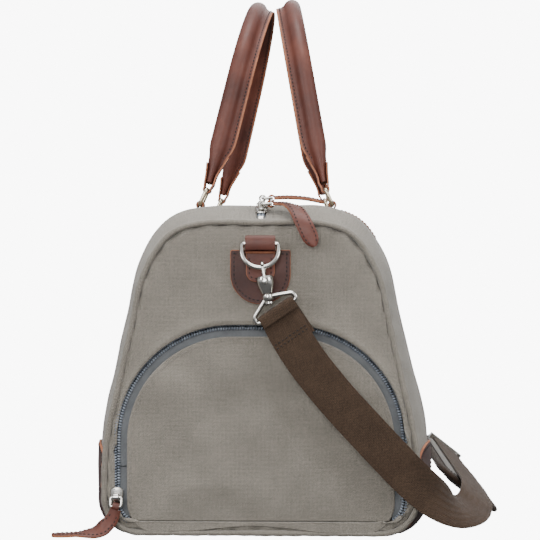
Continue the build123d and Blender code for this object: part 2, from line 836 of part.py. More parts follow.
def handle_set(side, lean_angle, name):
    anchors = [Vector(side * anchor_x, end * anchor_y, anchor_z) for end in (-1, 1)]
    lean_in = radians(handle_ring_lean)
    ring_up = Vector(-side * sin(lean_in), 0, cos(lean_in))
    with BuildPart() as tabs:
        add(skin.part)
        with Locations(
            *[
                (side * (anchor_x + anchor_length / 2 - ring_outer), end * anchor_y, anchor_z - 40)
                for end in (-1, 1)
            ]
        ):
            Box(anchor_length, anchor_width, 90, mode=Mode.INTERSECT)
        for anchor in anchors:
            add(leather_sleeve(anchor, anchor_width))
            with BuildSketch(end_plane(anchor.Y)):
                with Locations((anchor.X, anchor.Z)):
                    Circle(ring_inner)
            extrude(amount=anchor_width, both=True, mode=Mode.SUBTRACT)
    finish(tabs.part, f"{name}_handle_tabs")

    with BuildPart() as ring:
        with BuildLine() as half_frame:
            FilletPolyline(
                (0, 0),
                (ring_straight, 0),
                (ring_straight, handle_ring_height),
                (0, handle_ring_height),
                radius=3.5,
            )
        with BuildSketch(Plane.YZ):
            Circle(handle_ring_wire)
        sweep(path=half_frame.wire())
        mirror(about=Plane.YZ)
    with BuildPart() as rings:
        for anchor in anchors:
            place = Plane(origin=anchor, x_dir=(0, 1, 0), z_dir=Vector(0, 1, 0).cross(ring_up))
            add(ring.part.moved(place.location))
    finish(rings.part, f"{name}_rings")

    pivot = Vector(side * anchor_x, 0, anchor_z) + ring_up * handle_ring_height
    lean_handle = radians(lean_angle)
    up = Vector(-side * sin(lean_handle), 0, cos(lean_handle))
    plane = Plane(origin=pivot, x_dir=(0, 1, 0), z_dir=Vector(0, 1, 0).cross(up))
    splay = radians(leg_angle)
    arch = (anchor_y - leg_length * sin(splay)) / cos(splay)
    arch_centre = leg_length * cos(splay) - arch * sin(splay)
    roll_start = end_strap_length + seam_gap
    with BuildLine() as half_path:
        CenterArc((0, arch_centre), arch, 90, leg_angle - 90)
        Line(
            (anchor_y - leg_length * sin(splay), leg_length * cos(splay)),
            (anchor_y - roll_start * sin(splay), roll_start * cos(splay)),
        )
    apex = arch_centre + arch
    with BuildPart() as cover:
        with BuildSketch(Plane.YZ):
            with Locations((apex, 0)):
                Circle(roll_radius)
            with Locations((apex, -side * flange_reach / 2)):
                Rectangle(flange_thickness, flange_reach)
            with Locations((apex, 0)):
                Circle(core_radius + seam_gap, mode=Mode.SUBTRACT)
        sweep(path=half_path.wire())
        mirror(about=Plane.YZ)
    finish(cover.part.moved(plane.location), f"{name}_handle_cover")
    with BuildPart() as core:
        with BuildSketch(Plane.YZ):
            with Locations((apex, 0)):
                Circle(core_radius)
        sweep(path=half_path.wire())
        mirror(about=Plane.YZ)
    finish(core.part.moved(plane.location), f"{name}_handle_core")

    with BuildPart() as straps:
        for end in (-1, 1):
            foot = pivot + (0, end * anchor_y, 0)
            leg = (up * cos(splay) + Vector(0, -end * sin(splay), 0)).normalized()
            strap_plane = Plane(origin=foot + leg * ring_inner, x_dir=plane.z_dir, z_dir=leg)
            with BuildSketch(strap_plane):
                Rectangle(end_strap_thickness, end_strap_width)
            extrude(amount=end_strap_length - ring_inner)
            add(leather_sleeve(foot, end_strap_width))
            with BuildSketch(end_plane(foot.Y)):
                with Locations((foot.X, foot.Z)):
                    Circle(ring_inner)
            extrude(amount=end_strap_width, both=True, mode=Mode.SUBTRACT)
    finish(straps.part, f"{name}_handle_ends")
    print(name, "anchor", anchors[0], "pivot", pivot)


handle_set(-1, left_handle_lean, "left")
handle_set(1, right_handle_lean, "right")
print("hook axis through", claw_centre, "along", outwards, "strap pivot z", swing_z)
print("d ring bar", bar_y, ring_bar_height, "hem", hem_height, "panel", -half_length)
print("lugs", near_lug, far_lug, end_lug, "slope", slope)
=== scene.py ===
import bmesh
import bpy
import json
from math import atan2, cos, exp, pi, radians, sin, tau
from mathutils import Vector, noise
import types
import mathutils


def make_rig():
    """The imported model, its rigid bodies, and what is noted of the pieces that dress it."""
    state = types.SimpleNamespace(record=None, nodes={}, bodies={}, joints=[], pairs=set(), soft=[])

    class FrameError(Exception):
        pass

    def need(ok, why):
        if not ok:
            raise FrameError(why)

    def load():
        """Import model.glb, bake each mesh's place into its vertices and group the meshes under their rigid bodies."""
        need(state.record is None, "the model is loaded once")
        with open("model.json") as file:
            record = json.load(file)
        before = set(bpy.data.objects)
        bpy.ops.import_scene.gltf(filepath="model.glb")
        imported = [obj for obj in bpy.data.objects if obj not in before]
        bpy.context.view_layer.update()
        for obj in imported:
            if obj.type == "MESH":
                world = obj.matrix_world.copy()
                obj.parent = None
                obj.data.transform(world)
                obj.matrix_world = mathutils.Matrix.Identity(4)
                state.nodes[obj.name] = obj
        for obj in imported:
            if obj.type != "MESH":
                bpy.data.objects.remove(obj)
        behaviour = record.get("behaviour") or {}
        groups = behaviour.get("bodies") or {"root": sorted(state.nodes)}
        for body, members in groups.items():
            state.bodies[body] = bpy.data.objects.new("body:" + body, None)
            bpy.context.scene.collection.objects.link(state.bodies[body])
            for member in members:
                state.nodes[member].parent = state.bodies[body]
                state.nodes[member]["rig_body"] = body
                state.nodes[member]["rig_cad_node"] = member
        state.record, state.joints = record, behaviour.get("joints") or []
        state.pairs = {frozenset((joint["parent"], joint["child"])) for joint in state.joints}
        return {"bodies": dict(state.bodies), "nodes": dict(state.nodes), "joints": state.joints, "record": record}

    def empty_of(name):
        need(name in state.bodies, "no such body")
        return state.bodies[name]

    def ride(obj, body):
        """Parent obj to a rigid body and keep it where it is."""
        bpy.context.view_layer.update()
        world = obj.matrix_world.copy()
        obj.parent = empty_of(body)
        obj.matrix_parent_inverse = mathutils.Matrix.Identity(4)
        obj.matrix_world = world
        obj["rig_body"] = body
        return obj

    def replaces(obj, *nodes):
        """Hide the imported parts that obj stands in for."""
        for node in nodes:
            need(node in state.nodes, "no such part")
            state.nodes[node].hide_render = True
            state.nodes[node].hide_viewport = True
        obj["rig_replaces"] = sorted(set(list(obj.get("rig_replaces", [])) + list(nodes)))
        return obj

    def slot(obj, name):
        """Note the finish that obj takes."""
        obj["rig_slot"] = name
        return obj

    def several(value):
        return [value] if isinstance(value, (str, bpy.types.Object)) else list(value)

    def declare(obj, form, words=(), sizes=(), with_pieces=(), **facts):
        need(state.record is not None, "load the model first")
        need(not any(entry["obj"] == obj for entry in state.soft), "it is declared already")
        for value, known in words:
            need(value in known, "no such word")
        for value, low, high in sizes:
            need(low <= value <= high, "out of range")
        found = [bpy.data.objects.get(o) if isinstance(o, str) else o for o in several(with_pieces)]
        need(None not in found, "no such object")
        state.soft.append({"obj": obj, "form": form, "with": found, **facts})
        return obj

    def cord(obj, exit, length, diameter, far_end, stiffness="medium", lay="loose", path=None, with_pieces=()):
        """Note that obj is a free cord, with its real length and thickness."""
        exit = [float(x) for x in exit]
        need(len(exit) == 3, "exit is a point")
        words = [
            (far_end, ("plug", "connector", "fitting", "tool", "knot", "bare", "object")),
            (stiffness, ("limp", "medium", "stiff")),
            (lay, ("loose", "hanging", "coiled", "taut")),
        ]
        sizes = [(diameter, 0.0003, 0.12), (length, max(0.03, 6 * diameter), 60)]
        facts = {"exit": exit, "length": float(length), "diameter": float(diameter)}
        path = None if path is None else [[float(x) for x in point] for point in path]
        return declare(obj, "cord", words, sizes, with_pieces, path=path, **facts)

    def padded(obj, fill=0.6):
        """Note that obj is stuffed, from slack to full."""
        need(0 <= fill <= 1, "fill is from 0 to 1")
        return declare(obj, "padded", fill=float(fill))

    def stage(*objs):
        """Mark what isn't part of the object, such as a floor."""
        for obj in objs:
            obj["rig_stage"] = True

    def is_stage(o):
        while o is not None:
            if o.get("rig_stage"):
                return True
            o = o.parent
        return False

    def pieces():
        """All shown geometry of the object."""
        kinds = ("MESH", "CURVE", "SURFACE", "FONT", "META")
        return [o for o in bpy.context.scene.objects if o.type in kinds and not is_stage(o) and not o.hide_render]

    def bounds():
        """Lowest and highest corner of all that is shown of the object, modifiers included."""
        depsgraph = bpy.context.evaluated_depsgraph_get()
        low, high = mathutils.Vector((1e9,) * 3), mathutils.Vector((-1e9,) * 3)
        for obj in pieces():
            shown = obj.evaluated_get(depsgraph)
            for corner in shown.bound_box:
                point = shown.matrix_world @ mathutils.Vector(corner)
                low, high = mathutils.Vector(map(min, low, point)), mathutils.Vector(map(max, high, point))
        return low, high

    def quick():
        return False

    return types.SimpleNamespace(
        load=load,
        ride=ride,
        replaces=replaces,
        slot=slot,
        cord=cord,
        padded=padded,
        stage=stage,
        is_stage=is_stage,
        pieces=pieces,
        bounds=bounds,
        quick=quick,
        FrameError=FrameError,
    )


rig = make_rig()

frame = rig.load()
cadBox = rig.bounds()
cad = frame["nodes"]
print("frame loaded,", len(cad), "nodes")

# sizes in metres; the near end of the bag is the one at -Y
xWay, yWay, zWay, near = Vector((1, 0, 0)), Vector((0, 1, 0)), Vector((0, 0, 1)), Vector((0, -1, 0))
bag = {
    "halfLength": 0.260, "wrapEnd": 0.2588, "halfWidth": 0.133, "bulge": 0.017, "bulgePower": 6,
    "height": 0.266, "crownRise": 0.016, "crownSlope": 0.035, "corner": 0.030, "footLift": 0.003,
    "shares": ((0.985, 0.30), (0.91, 0.478), (0.825, 0.669), (0.744, 0.842), (0.60, 0.955)),
    "slot": 0.0060, "slotEnd": 0.2508, "canvas": 0.0022,
    "dents": 0.0030, "ripples": 0.0011, "puckers": 0.0011, "puckerPitch": 0.019, "puckerReach": 0.013,
    "drag": 0.0014, "dragAt": 0.112, "dragSpread": 0.035,
}
arch = {
    "inset": 0.011, "height": 0.178, "radius": 0.098, "turn": 58,
    "toothReach": 0.0028, "tapeFace": 0.2582, "chainFront": 0.2617, "panelFront": 0.2615,
    "flapInset": 0.0085, "flapFront": 0.2618,
}


# camera
shot = {"yaw": 1.75, "distance": 1.335, "height": 0.226, "side": 0.0080, "lens": 105.0}
turn = radians(shot["yaw"])
looking = Vector((-sin(turn), cos(turn), 0))
rightwards = Vector((cos(turn), sin(turn), 0))
camera = bpy.data.objects.new("camera", bpy.data.cameras.new("camera"))
camera.data.lens = shot["lens"]
camera.data.sensor_width = 36
camera.location = Vector((0, -bag["halfLength"], shot["height"])) - looking * shot["distance"]
camera.location += rightwards * shot["side"]
camera.rotation_euler = looking.to_track_quat("-Z", "Y").to_euler()
bpy.context.scene.collection.objects.link(camera)
bpy.context.scene.camera = camera


# materials
class Wire:
    def __init__(self, paint, socket):
        self.paint = paint
        self.socket = socket

    def math(self, operation, *values):
        return self.paint.node("ShaderNodeMath", {"operation": operation}, dict(enumerate(values)))

    def __add__(self, other):
        return self.math("ADD", self, other)

    def __sub__(self, other):
        return self.math("SUBTRACT", self, other)

    def __rsub__(self, other):
        return self.math("SUBTRACT", other, self)

    def __mul__(self, other):
        return self.math("MULTIPLY", self, other)

    def __truediv__(self, other):
        return self.math("DIVIDE", self, other)

    __radd__ = __add__
    __rmul__ = __mul__

    def wave(self, period):
        return self.math("SINE", self * (tau / period)) * 0.5 + 0.5

    def above(self, level):
        return self.math("GREATER_THAN", self, level)

    def limited(self, low, high):
        return self.paint.node("ShaderNodeClamp", {}, {"Value": self, "Min": low, "Max": high})

    def ramp(self, *stops):
        return self.paint.node("ShaderNodeValToRGB", {"stops": stops}, {"Fac": self})


class Paint:
    def __init__(self, name, **constants):
        self.material = bpy.data.materials.new(name)
        self.material.use_nodes = True
        self.tree = self.material.node_tree
        self.shader = self.tree.nodes["Principled BSDF"]
        for socket, value in constants.items():
            self.shader.inputs[socket.replace("_", " ")].default_value = value

    def node(self, kind, settings, sockets, output=0):
        made = self.tree.nodes.new(kind)
        for key, value in settings.items():
            if key == "stops":
                ramp = made.color_ramp
                while len(ramp.elements) < len(value):
                    ramp.elements.new(1.0)
                for element, (place, colour) in zip(ramp.elements, value):
                    element.position = place
                    element.color = (*colour, 1)
            else:
                setattr(made, key, value)
        for key, value in sockets.items():
            self.feed(made.inputs[key], value)
        return Wire(self, made.outputs[output])

    def feed(self, socket, value):
        if isinstance(value, Wire):
            self.tree.links.new(value.socket, socket)
        else:
            socket.default_value = value

    def coordinates(self, kind, scale=(1, 1, 1), turned=(0, 0, 0)):
        found = self.node("ShaderNodeTexCoord", {}, {}, kind)
        return self.node("ShaderNodeMapping", {}, {"Vector": found, "Scale": scale, "Rotation": turned})

    def split(self, vector):
        return [self.node("ShaderNodeSeparateXYZ", {}, {"Vector": vector}, axis) for axis in (0, 1, 2)]

    def noise(self, vector, scale, detail=3.0, roughness=0.55):
        sockets = {"Vector": vector, "Scale": scale, "Detail": detail, "Roughness": roughness}
        return self.node("ShaderNodeTexNoise", {}, sockets)

    def bump(self, height, strength, distance, under=None):
        sockets = {"Height": height, "Strength": strength, "Distance": distance}
        if under:
            sockets["Normal"] = under
        return self.node("ShaderNodeBump", {}, sockets)

    def finish(self, **sockets):
        for key, value in sockets.items():
            self.feed(self.shader.inputs[key.replace("_", " ")], value)
        return self.material


def rgb(red, green, blue):
    return (red, green, blue, 1.0)


def wovenCloth(name, dark, light, pitch, slub, roughness=0.9, relief=0.6, wear=0.35):
    paint = Paint(name, Roughness=roughness, Sheen_Weight=0.25, Sheen_Roughness=0.5, Specular_IOR_Level=0.2)
    across, along, _ = paint.split(paint.coordinates("UV"))
    cloth = paint.coordinates("UV")
    over = (across.wave(pitch * 2) - 0.5) * (along.wave(pitch * 2) - 0.5)
    warpTop = over.above(0.0)
    warp = across.wave(pitch)
    weft = along.wave(pitch)
    warpSlub = paint.noise(paint.coordinates("UV", (1 / slub, 0.06 / slub, 1)), 1.0, 4.0)
    weftSlub = paint.noise(paint.coordinates("UV", (0.06 / slub, 1 / slub, 1)), 1.0, 4.0)
    height = warpTop * warp + (1 - warpTop) * weft
    thread = warpTop * warpSlub + (1 - warpTop) * weftSlub
    mottle = paint.noise(cloth, 38.0, 5.0, 0.6)
    fade = paint.noise(cloth, 9.0, 3.0)
    speck = paint.noise(cloth, 760.0, 2.0, 0.8)
    # height lightens the threads' crests and darkens the grooves between them: painted shade on the weave's relief.
    # Thread, speck, mottle and fade are the cloth's own tone
    tone = thread * 0.34 + speck * 0.80 + mottle * wear * 0.5 + fade * 0.14 + height * 0.16 - 0.33
    colour = tone.limited(0.0, 1.0).ramp((0.22, dark), (0.78, light))
    fuzz = paint.noise(cloth, 1500.0, 2.0)
    lumps = paint.bump(mottle, 0.25, 0.0012)
    normal = paint.bump(height * 0.7 + thread * 0.5 + fuzz * 0.3, relief, 0.0005, lumps)
    return paint.finish(Base_Color=colour, Normal=normal, Roughness=0.82 + 0.14 * thread)


def hide(name, deep, middle, bright, roughness):
    paint = Paint(name, Roughness=roughness, Specular_IOR_Level=0.36, Coat_Roughness=0.32)
    place = paint.coordinates("Object")
    cloud = paint.noise(place, 26.0, 5.0, 0.6)
    patch = paint.noise(place, 8.0, 2.0)
    scuff = paint.noise(place, 210.0, 3.0, 0.7)
    tone = (cloud * 0.62 + patch * 0.38 + scuff * 0.10 - 0.05).limited(0.0, 1.0)
    colour = tone.ramp((0.32, deep), (0.52, middle), (0.74, bright))
    toEdge, poresPerMetre = {"feature": "DISTANCE_TO_EDGE"}, 900.0
    cells = paint.node("ShaderNodeTexVoronoi", toEdge, {"Vector": place, "Scale": poresPerMetre})
    pores = cells.limited(0.0, 0.12) * 6.0
    creased = paint.bump(cloud, 0.18, 0.002)
    normal = paint.bump(pores + scuff * 0.8, 0.22, 0.0003, creased)
    rough = (roughness - 0.10) + 0.22 * scuff + 0.08 * cloud
    return paint.finish(Base_Color=colour, Normal=normal, Roughness=rough, Coat_Weight=0.04 + 0.12 * patch)


def cutEdge(name):
    paint = Paint(name, Roughness=0.75, Specular_IOR_Level=0.3)
    place = paint.coordinates("Object")
    fibre = paint.noise(place, 700.0, 4.0, 0.7)
    stain = paint.noise(place, 60.0, 3.0)
    colour = (fibre * 0.5 + stain * 0.5).ramp((0.3, (0.17, 0.058, 0.031)), (0.62, (0.38, 0.150, 0.080)))
    return paint.finish(Base_Color=colour, Normal=paint.bump(fibre, 0.5, 0.0004))


def metal(name, colour, roughness=0.14):
    paint = Paint(name, Metallic=1.0, Roughness=roughness)
    place = paint.coordinates("Object")
    smear = paint.noise(place, 90.0, 4.0)
    scratch = paint.noise(paint.coordinates("Object", (900, 60, 900)), 1.0, 2.0)
    dulled = tuple(0.80 * part for part in colour)
    tone = smear.ramp((0.3, dulled), (0.6, colour))
    return paint.finish(
        Base_Color=tone, Roughness=(roughness - 0.06) + 0.16 * smear, Normal=paint.bump(scratch, 0.05, 0.0002)
    )


def smoothPlastic(name, dark, light, roughness=0.4):
    paint = Paint(name, Roughness=roughness, Specular_IOR_Level=0.5)
    place = paint.coordinates("Object")
    dust = paint.noise(place, 130.0, 4.0)
    fine = paint.noise(place, 1400.0, 2.0)
    colour = dust.ramp((0.35, dark), (0.7, light))
    return paint.finish(
        Base_Color=colour, Roughness=(roughness - 0.08) + 0.2 * dust, Normal=paint.bump(fine, 0.12, 0.0003)
    )


def ribbedTape(name, dark, light, pitch, roughness=0.75):
    paint = Paint(name, Roughness=roughness, Specular_IOR_Level=0.3, Sheen_Weight=0.15)
    across, along, _ = paint.split(paint.coordinates("UV"))
    rib = (along + (across.wave(pitch * 8) * pitch * 1.2)).wave(pitch)
    soil = paint.noise(paint.coordinates("UV"), 60.0, 4.0)
    # rib lightens the ribs and darkens the grooves between them: painted shade on the tape's relief. Soil is the
    # tape's own tone
    colour = (rib * 0.35 + soil * 0.65).ramp((0.3, dark), (0.7, light))
    return paint.finish(Base_Color=colour, Normal=paint.bump(rib, 0.4, 0.0003), Roughness=0.62 + 0.2 * soil)


def twillWebbing(name, dark, light, pitch):
    paint = Paint(name, Roughness=0.85, Specular_IOR_Level=0.18, Sheen_Weight=0.12, Sheen_Roughness=0.4)
    across, along, _ = paint.split(paint.coordinates("UV"))
    rib = across.wave(pitch)
    column = across.math("FLOOR", across / (pitch * 2))
    herring = across.math("PINGPONG", column, 1.0) * 2.0 - 1.0
    diagonal = (along + across * herring * 1.3).wave(pitch * 1.35)
    soil = paint.noise(paint.coordinates("UV"), 45.0, 4.0)
    thread = paint.noise(paint.coordinates("UV", (1400, 260, 1)), 1.0, 3.0)
    height = diagonal * 0.7 + rib * 0.3
    # height lightens the twill's ridges and darkens its grooves: painted shade on the weave's relief. Soil and thread
    # are the webbing's own tone
    tone = (height * 0.42 + soil * 0.22 + thread * 0.36).limited(0.0, 1.0)
    colour = tone.ramp((0.28, dark), (0.72, light))
    normal = paint.bump(height + thread * 0.3, 0.75, 0.0006)
    return paint.finish(Base_Color=colour, Normal=normal, Roughness=0.76 + 0.16 * thread)


canvasCloth = wovenCloth("canvasCloth", (0.092, 0.081, 0.067), (0.362, 0.329, 0.277), 0.00110, 0.0012)
padCloth = wovenCloth("padCloth", (0.075, 0.068, 0.060), (0.220, 0.202, 0.180), 0.00110, 0.0012)
liningCloth = wovenCloth("liningCloth", (0.060, 0.055, 0.050), (0.115, 0.105, 0.095), 0.0004, 0.0009,
                         roughness=0.8, relief=0.3, wear=0.2)
brownLeather = hide("brownLeather", (0.046, 0.0122, 0.0080), (0.104, 0.0285, 0.0178),
                    (0.190, 0.0600, 0.0375), 0.48)
darkLeather = hide("darkLeather", (0.022, 0.0068, 0.0048), (0.048, 0.0148, 0.0102),
                   (0.084, 0.0280, 0.0190), 0.54)
rawEdge = cutEdge("rawEdge")
polishedNickel = metal("polishedNickel", (0.62, 0.60, 0.56), 0.17)
warmNickel = metal("warmNickel", (0.60, 0.52, 0.39), 0.18)
coilPlastic = smoothPlastic("coilPlastic", (0.125, 0.145, 0.180), (0.330, 0.370, 0.430), 0.26)
zipTape = ribbedTape("zipTape", (0.100, 0.106, 0.112), (0.180, 0.189, 0.197), 0.0011)
strapTwill = twillWebbing("strapTwill", (0.014, 0.0080, 0.0046), (0.100, 0.0620, 0.0400), 0.0014)
bindingTwill = twillWebbing("bindingTwill", (0.013, 0.0076, 0.0047), (0.056, 0.035, 0.023), 0.0011)
boardPlastic = smoothPlastic("boardPlastic", (0.050, 0.050, 0.050), (0.090, 0.090, 0.088), 0.55)
brownThread = smoothPlastic("brownThread", (0.006, 0.003, 0.0022), (0.015, 0.007, 0.005), 0.7)
greyThread = smoothPlastic("greyThread", (0.17, 0.155, 0.14), (0.30, 0.28, 0.25), 0.7)
brownCut, darkCut, webbingFaces = [brownLeather, rawEdge], [darkLeather, rawEdge], [strapTwill, strapTwill]
print("materials made")


# making meshes
def makePiece(name, points, faces, materials, uvs=None, slots=None):
    mesh = bpy.data.meshes.new(name)
    mesh.from_pydata([tuple(p) for p in points], [], faces)
    for material in materials:
        mesh.materials.append(material)
    if uvs:
        layer = mesh.uv_layers.new(name="cloth")
        corners = [v for face in mesh.polygons for v in face.vertices]
        layer.data.foreach_set("uv", [part for v in corners for part in uvs[v]])
    if slots:
        mesh.polygons.foreach_set("material_index", slots)
    mesh.polygons.foreach_set("use_smooth", [True] * len(mesh.polygons))
    mesh.validate()
    mesh.update()
    piece = bpy.data.objects.new(name, mesh)
    bpy.context.scene.collection.objects.link(piece)
    return piece


def reworked(piece, change):
    # the piece after change(work) on its mesh
    work = bmesh.new()
    work.from_mesh(piece.data)
    change(work)
    work.to_mesh(piece.data)
    work.free()
    return piece


def outwardFaces(piece, weld=True):
    def change(work):
        if weld:
            bmesh.ops.remove_doubles(work, verts=work.verts, dist=0.00001)
        bmesh.ops.recalc_face_normals(work, faces=work.faces)
    return reworked(piece, change)


def sharpEdges(piece, angle):
    def change(work):
        for edge in work.edges:
            if len(edge.link_faces) == 2 and edge.calc_face_angle(0.0) > radians(angle):
                edge.smooth = False
    return reworked(piece, change)


def settle(piece, body, slotName, *replaced):
    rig.ride(piece, body)
    if replaced:
        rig.replaces(piece, *replaced)
    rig.slot(piece, slotName)
    return piece


def applied(piece):
    # the piece as its modifiers leave it, as a plain mesh
    depsgraph = bpy.context.evaluated_depsgraph_get()
    mesh = bpy.data.meshes.new_from_object(piece.evaluated_get(depsgraph), depsgraph=depsgraph)
    piece.modifiers.clear()
    piece.data = mesh
    return piece


def thicken(piece, thickness, offset=-1.0):
    wall = piece.modifiers.new("wall", "SOLIDIFY")
    wall.thickness = thickness
    wall.offset = offset
    wall.use_quality_normals = True
    wall.material_offset_rim = 0
    return applied(piece)


def facing(piece, direction):
    # turns an open sheet's faces to one side
    total = sum((f.normal * f.area for f in piece.data.polygons), Vector())
    if total.dot(direction) < 0:
        piece.data.flip_normals()
    return piece


def eased(share):
    share = min(1.0, max(0.0, share))
    return share * share * (3 - 2 * share)


def lengths(points):
    run = [0.0]
    for a, b in zip(points, points[1:]):
        run.append(run[-1] + (b - a).length)
    return run


def spaced(points, count):
    run = lengths(points)
    found, index = [], 0
    for step in range(count):
        wanted = run[-1] * step / (count - 1)
        while index < len(run) - 2 and run[index + 1] < wanted:
            index += 1
        span = run[index + 1] - run[index]
        share = (wanted - run[index]) / span if span else 0.0
        found.append(points[index].lerp(points[index + 1], min(max(share, 0.0), 1.0)))
    return found


def evenLoop(loop, count):
    # count points at even distances round a loop
    return spaced(loop + [loop[0]], count + 1)[:-1]


def mirrored(line):
    return [Vector((-p.x, p.y)) for p in reversed(line)]


def heading(line, index):
    return (line[min(index + 1, len(line) - 1)] - line[max(index - 1, 0)]).normalized()


def foldNormals(line, across, heart):
    # normals of a strip folded round heart, pointing away from it
    normals = [heading(line, index).cross(across) for index in range(len(line))]
    return [n if n.dot(p - heart) > 0 else -n for n, p in zip(normals, line)]


def circle(centre, first, second, radius, sides, extra=0):
    turns = [tau * s / sides for s in range(sides + extra)]
    return [centre + (first * cos(t) + second * sin(t)) * radius for t in turns]


def roundedLine(corners, radius, closed=False, steps=6):
    found = []
    count = len(corners)
    for index, corner in enumerate(corners):
        if not closed and index in (0, count - 1):
            found.append(corner.copy())
            continue
        before, after = corners[index - 1], corners[(index + 1) % count]
        back = min(radius, 0.45 * (before - corner).length, 0.45 * (after - corner).length)
        start = corner + (before - corner).normalized() * back
        end = corner + (after - corner).normalized() * back
        for step in range(steps + 1):
            share = step / steps
            found.append(start.lerp(corner, share).lerp(corner.lerp(end, share), share))
    return found


def arcPoints(centre, radius, start, turned, steps):
    turns = [radians(start + turned * i / steps) for i in range(steps + 1)]
    return [Vector((centre[0] + radius * cos(t), centre[1] + radius * sin(t))) for t in turns]


def quads(count, wide, closed):
    # faces between rows of points, each with its row and column
    for r in range(count - 1):
        for c in range(wide if closed else wide - 1):
            n = (c + 1) % wide
            yield r, c, (r * wide + c, r * wide + n, (r + 1) * wide + n, (r + 1) * wide + c)


def gridPiece(name, rows, materials, closed=False, uvs=None, slots=None):
    # rows of points of one length; closed joins each row's last point to its first
    points = [p for row in rows for p in row]
    wide = len(rows[0])
    faces, kinds = [], []
    for r, c, quad in quads(len(rows), wide, closed):
        faces.append(quad)
        kinds.append(slots(r, c) if slots else 0)
    if uvs is None:
        down = lengths([row[0] for row in rows])
        across = lengths(rows[len(rows) // 2])
        uvs = [(across[c], down[r]) for r in range(len(rows)) for c in range(wide)]
    return makePiece(name, points, faces, materials, uvs, kinds if slots else None)


def tube(name, points, radius, material, closed=False, sides=14):
    # radius is one number or a function of the share along the line
    count = len(points)
    rings = []
    first = None
    for index, point in enumerate(points):
        if closed:
            along = (points[(index + 1) % count] - points[index - 1]).normalized()
        else:
            along = heading(points, index)
        if first is None:
            first = along.orthogonal().normalized()
        first = (first - along * first.dot(along)).normalized()
        size = radius(index / (count - 1)) if callable(radius) else radius
        rings.append(circle(point, first, along.cross(first), size, sides))
    faces = []
    for r in range(count if closed else count - 1):
        n = (r + 1) % count
        shift = 0
        if closed and n == 0:
            # the closing row turns by what the ring has twisted on its way round
            shift = min(range(sides), key=lambda s: (rings[-1][s] - rings[0][0]).length)
        for s in range(sides):
            t = (s + 1) % sides
            a, b = (r * sides + (k + shift) % sides for k in (s, t))
            faces.append((a, b, n * sides + t, n * sides + s))
    if not closed:
        faces.append(tuple(reversed(range(sides))))
        faces.append(tuple((count - 1) * sides + s for s in range(sides)))
    piece = makePiece(name, [p for ring in rings for p in ring], faces, [material])
    return sharpEdges(outwardFaces(piece), 60)


def band(name, points, normals, width, thickness, materials,
         rounding=0.3, crown=0.0, widthAt=None, columns=9):
    # flat strip with a normal for each point; materials are its face and its cut edge
    rows, uvs = [], []
    run = lengths(points)
    count = len(points)
    half = thickness / 2
    shares = [-1 + 2 * c / (columns - 1) for c in range(columns)]
    for index, point in enumerate(points):
        along = heading(points, index)
        normal = (normals[index] - along * normals[index].dot(along)).normalized()
        side = along.cross(normal)
        reach = (widthAt(index / (count - 1)) if widthAt else 1.0) * width / 2
        row = []
        for direction in (1, -1):
            for share in shares if direction == 1 else reversed(shares):
                edge = max(0.0, abs(share) - 0.86) / 0.14
                lift = half * (1 - rounding * edge * edge)
                lift += crown * (1 - share * share) if direction == 1 else 0
                row.append(point + side * reach * share + normal * lift * direction)
                uvs.append((reach * share, run[index]))
        rows.append(row)
    wide = 2 * columns
    faces, kinds = [], []
    for r, c, quad in quads(count, wide, True):
        faces.append(quad)
        kinds.append(1 if c in (columns - 1, wide - 1) else 0)
    for r in (0, count - 1):
        for c in range(columns - 1):
            quad = (r * wide + c, r * wide + c + 1, r * wide + wide - 2 - c, r * wide + wide - 1 - c)
            faces.append(quad if r == 0 else tuple(reversed(quad)))
            kinds.append(1)
    piece = makePiece(name, [p for row in rows for p in row], faces, materials, uvs, kinds)
    return sharpEdges(outwardFaces(piece, weld=False), 50)


def insetLoop(loop, distance):
    # loop runs anticlockwise; each point moves to its left by distance
    count = len(loop)
    found = []
    for index, point in enumerate(loop):
        before = point - loop[index - 1]
        after = loop[(index + 1) % count] - point
        along = before.normalized() + after.normalized()
        if along.length < 0.0001:
            found.append(point.copy())
            continue
        along.normalize()
        stretch = 1 / max(0.5, along.dot(after.normalized()))
        found.append(point + Vector((-along.y, along.x)) * distance * stretch)
    return found


def plate(name, loop, place, thickness, materials, rings=6, soften=0.0005, centre=None):
    # place(u, v, h) sets a point h above the plate's back; its rim takes the second material
    count = len(loop)
    middle = centre or sum(loop, Vector((0, 0))) / count
    shrunk = insetLoop(loop, soften)
    flats = [(loop, 0.0), (loop, thickness - soften), (shrunk, thickness)]
    for ring in range(1, rings):
        share = 1 - ring / rings
        flats.append(([middle + (p - middle) * share for p in shrunk], thickness))
    backs = []
    for ring in range(rings - 1, 0, -1):
        share = ring / rings
        backs.append(([middle + (p - middle) * share for p in loop], 0.0))
    order = backs[::-1] + flats
    points, uvs = [place(middle.x, middle.y, 0.0)], [tuple(middle)]
    faces, kinds = [], []
    for lp, height in order:
        for p in lp:
            points.append(place(p.x, p.y, height))
            uvs.append(tuple(p))
    points.append(place(middle.x, middle.y, thickness))
    uvs.append(tuple(middle))
    last = len(points) - 1
    rim = len(backs)
    for c in range(count):
        n = (c + 1) % count
        faces.append((0, 1 + n, 1 + c))
        kinds.append(0)
        for r in range(len(order) - 1):
            a, b = 1 + r * count, 1 + (r + 1) * count
            faces.append((a + c, a + n, b + n, b + c))
            kinds.append(1 if r in (rim, rim + 1) and len(materials) > 1 else 0)
        top = 1 + (len(order) - 1) * count
        faces.append((top + c, top + n, last))
        kinds.append(0)
    piece = makePiece(name, points, faces, materials, uvs, kinds)
    return sharpEdges(outwardFaces(piece, weld=False), 35)


def lathe(name, outline, origin, axis, material, sides=28):
    # outline: (radius, distance along the axis), from one end to the other
    axis = axis.normalized()
    first = axis.orthogonal().normalized()
    second = axis.cross(first)
    rings = [circle(origin + axis * up, first, second, max(r, 0.00001), sides) for r, up in outline]
    return sharpEdges(outwardFaces(gridPiece(name, rings, [material], closed=True)), 35)


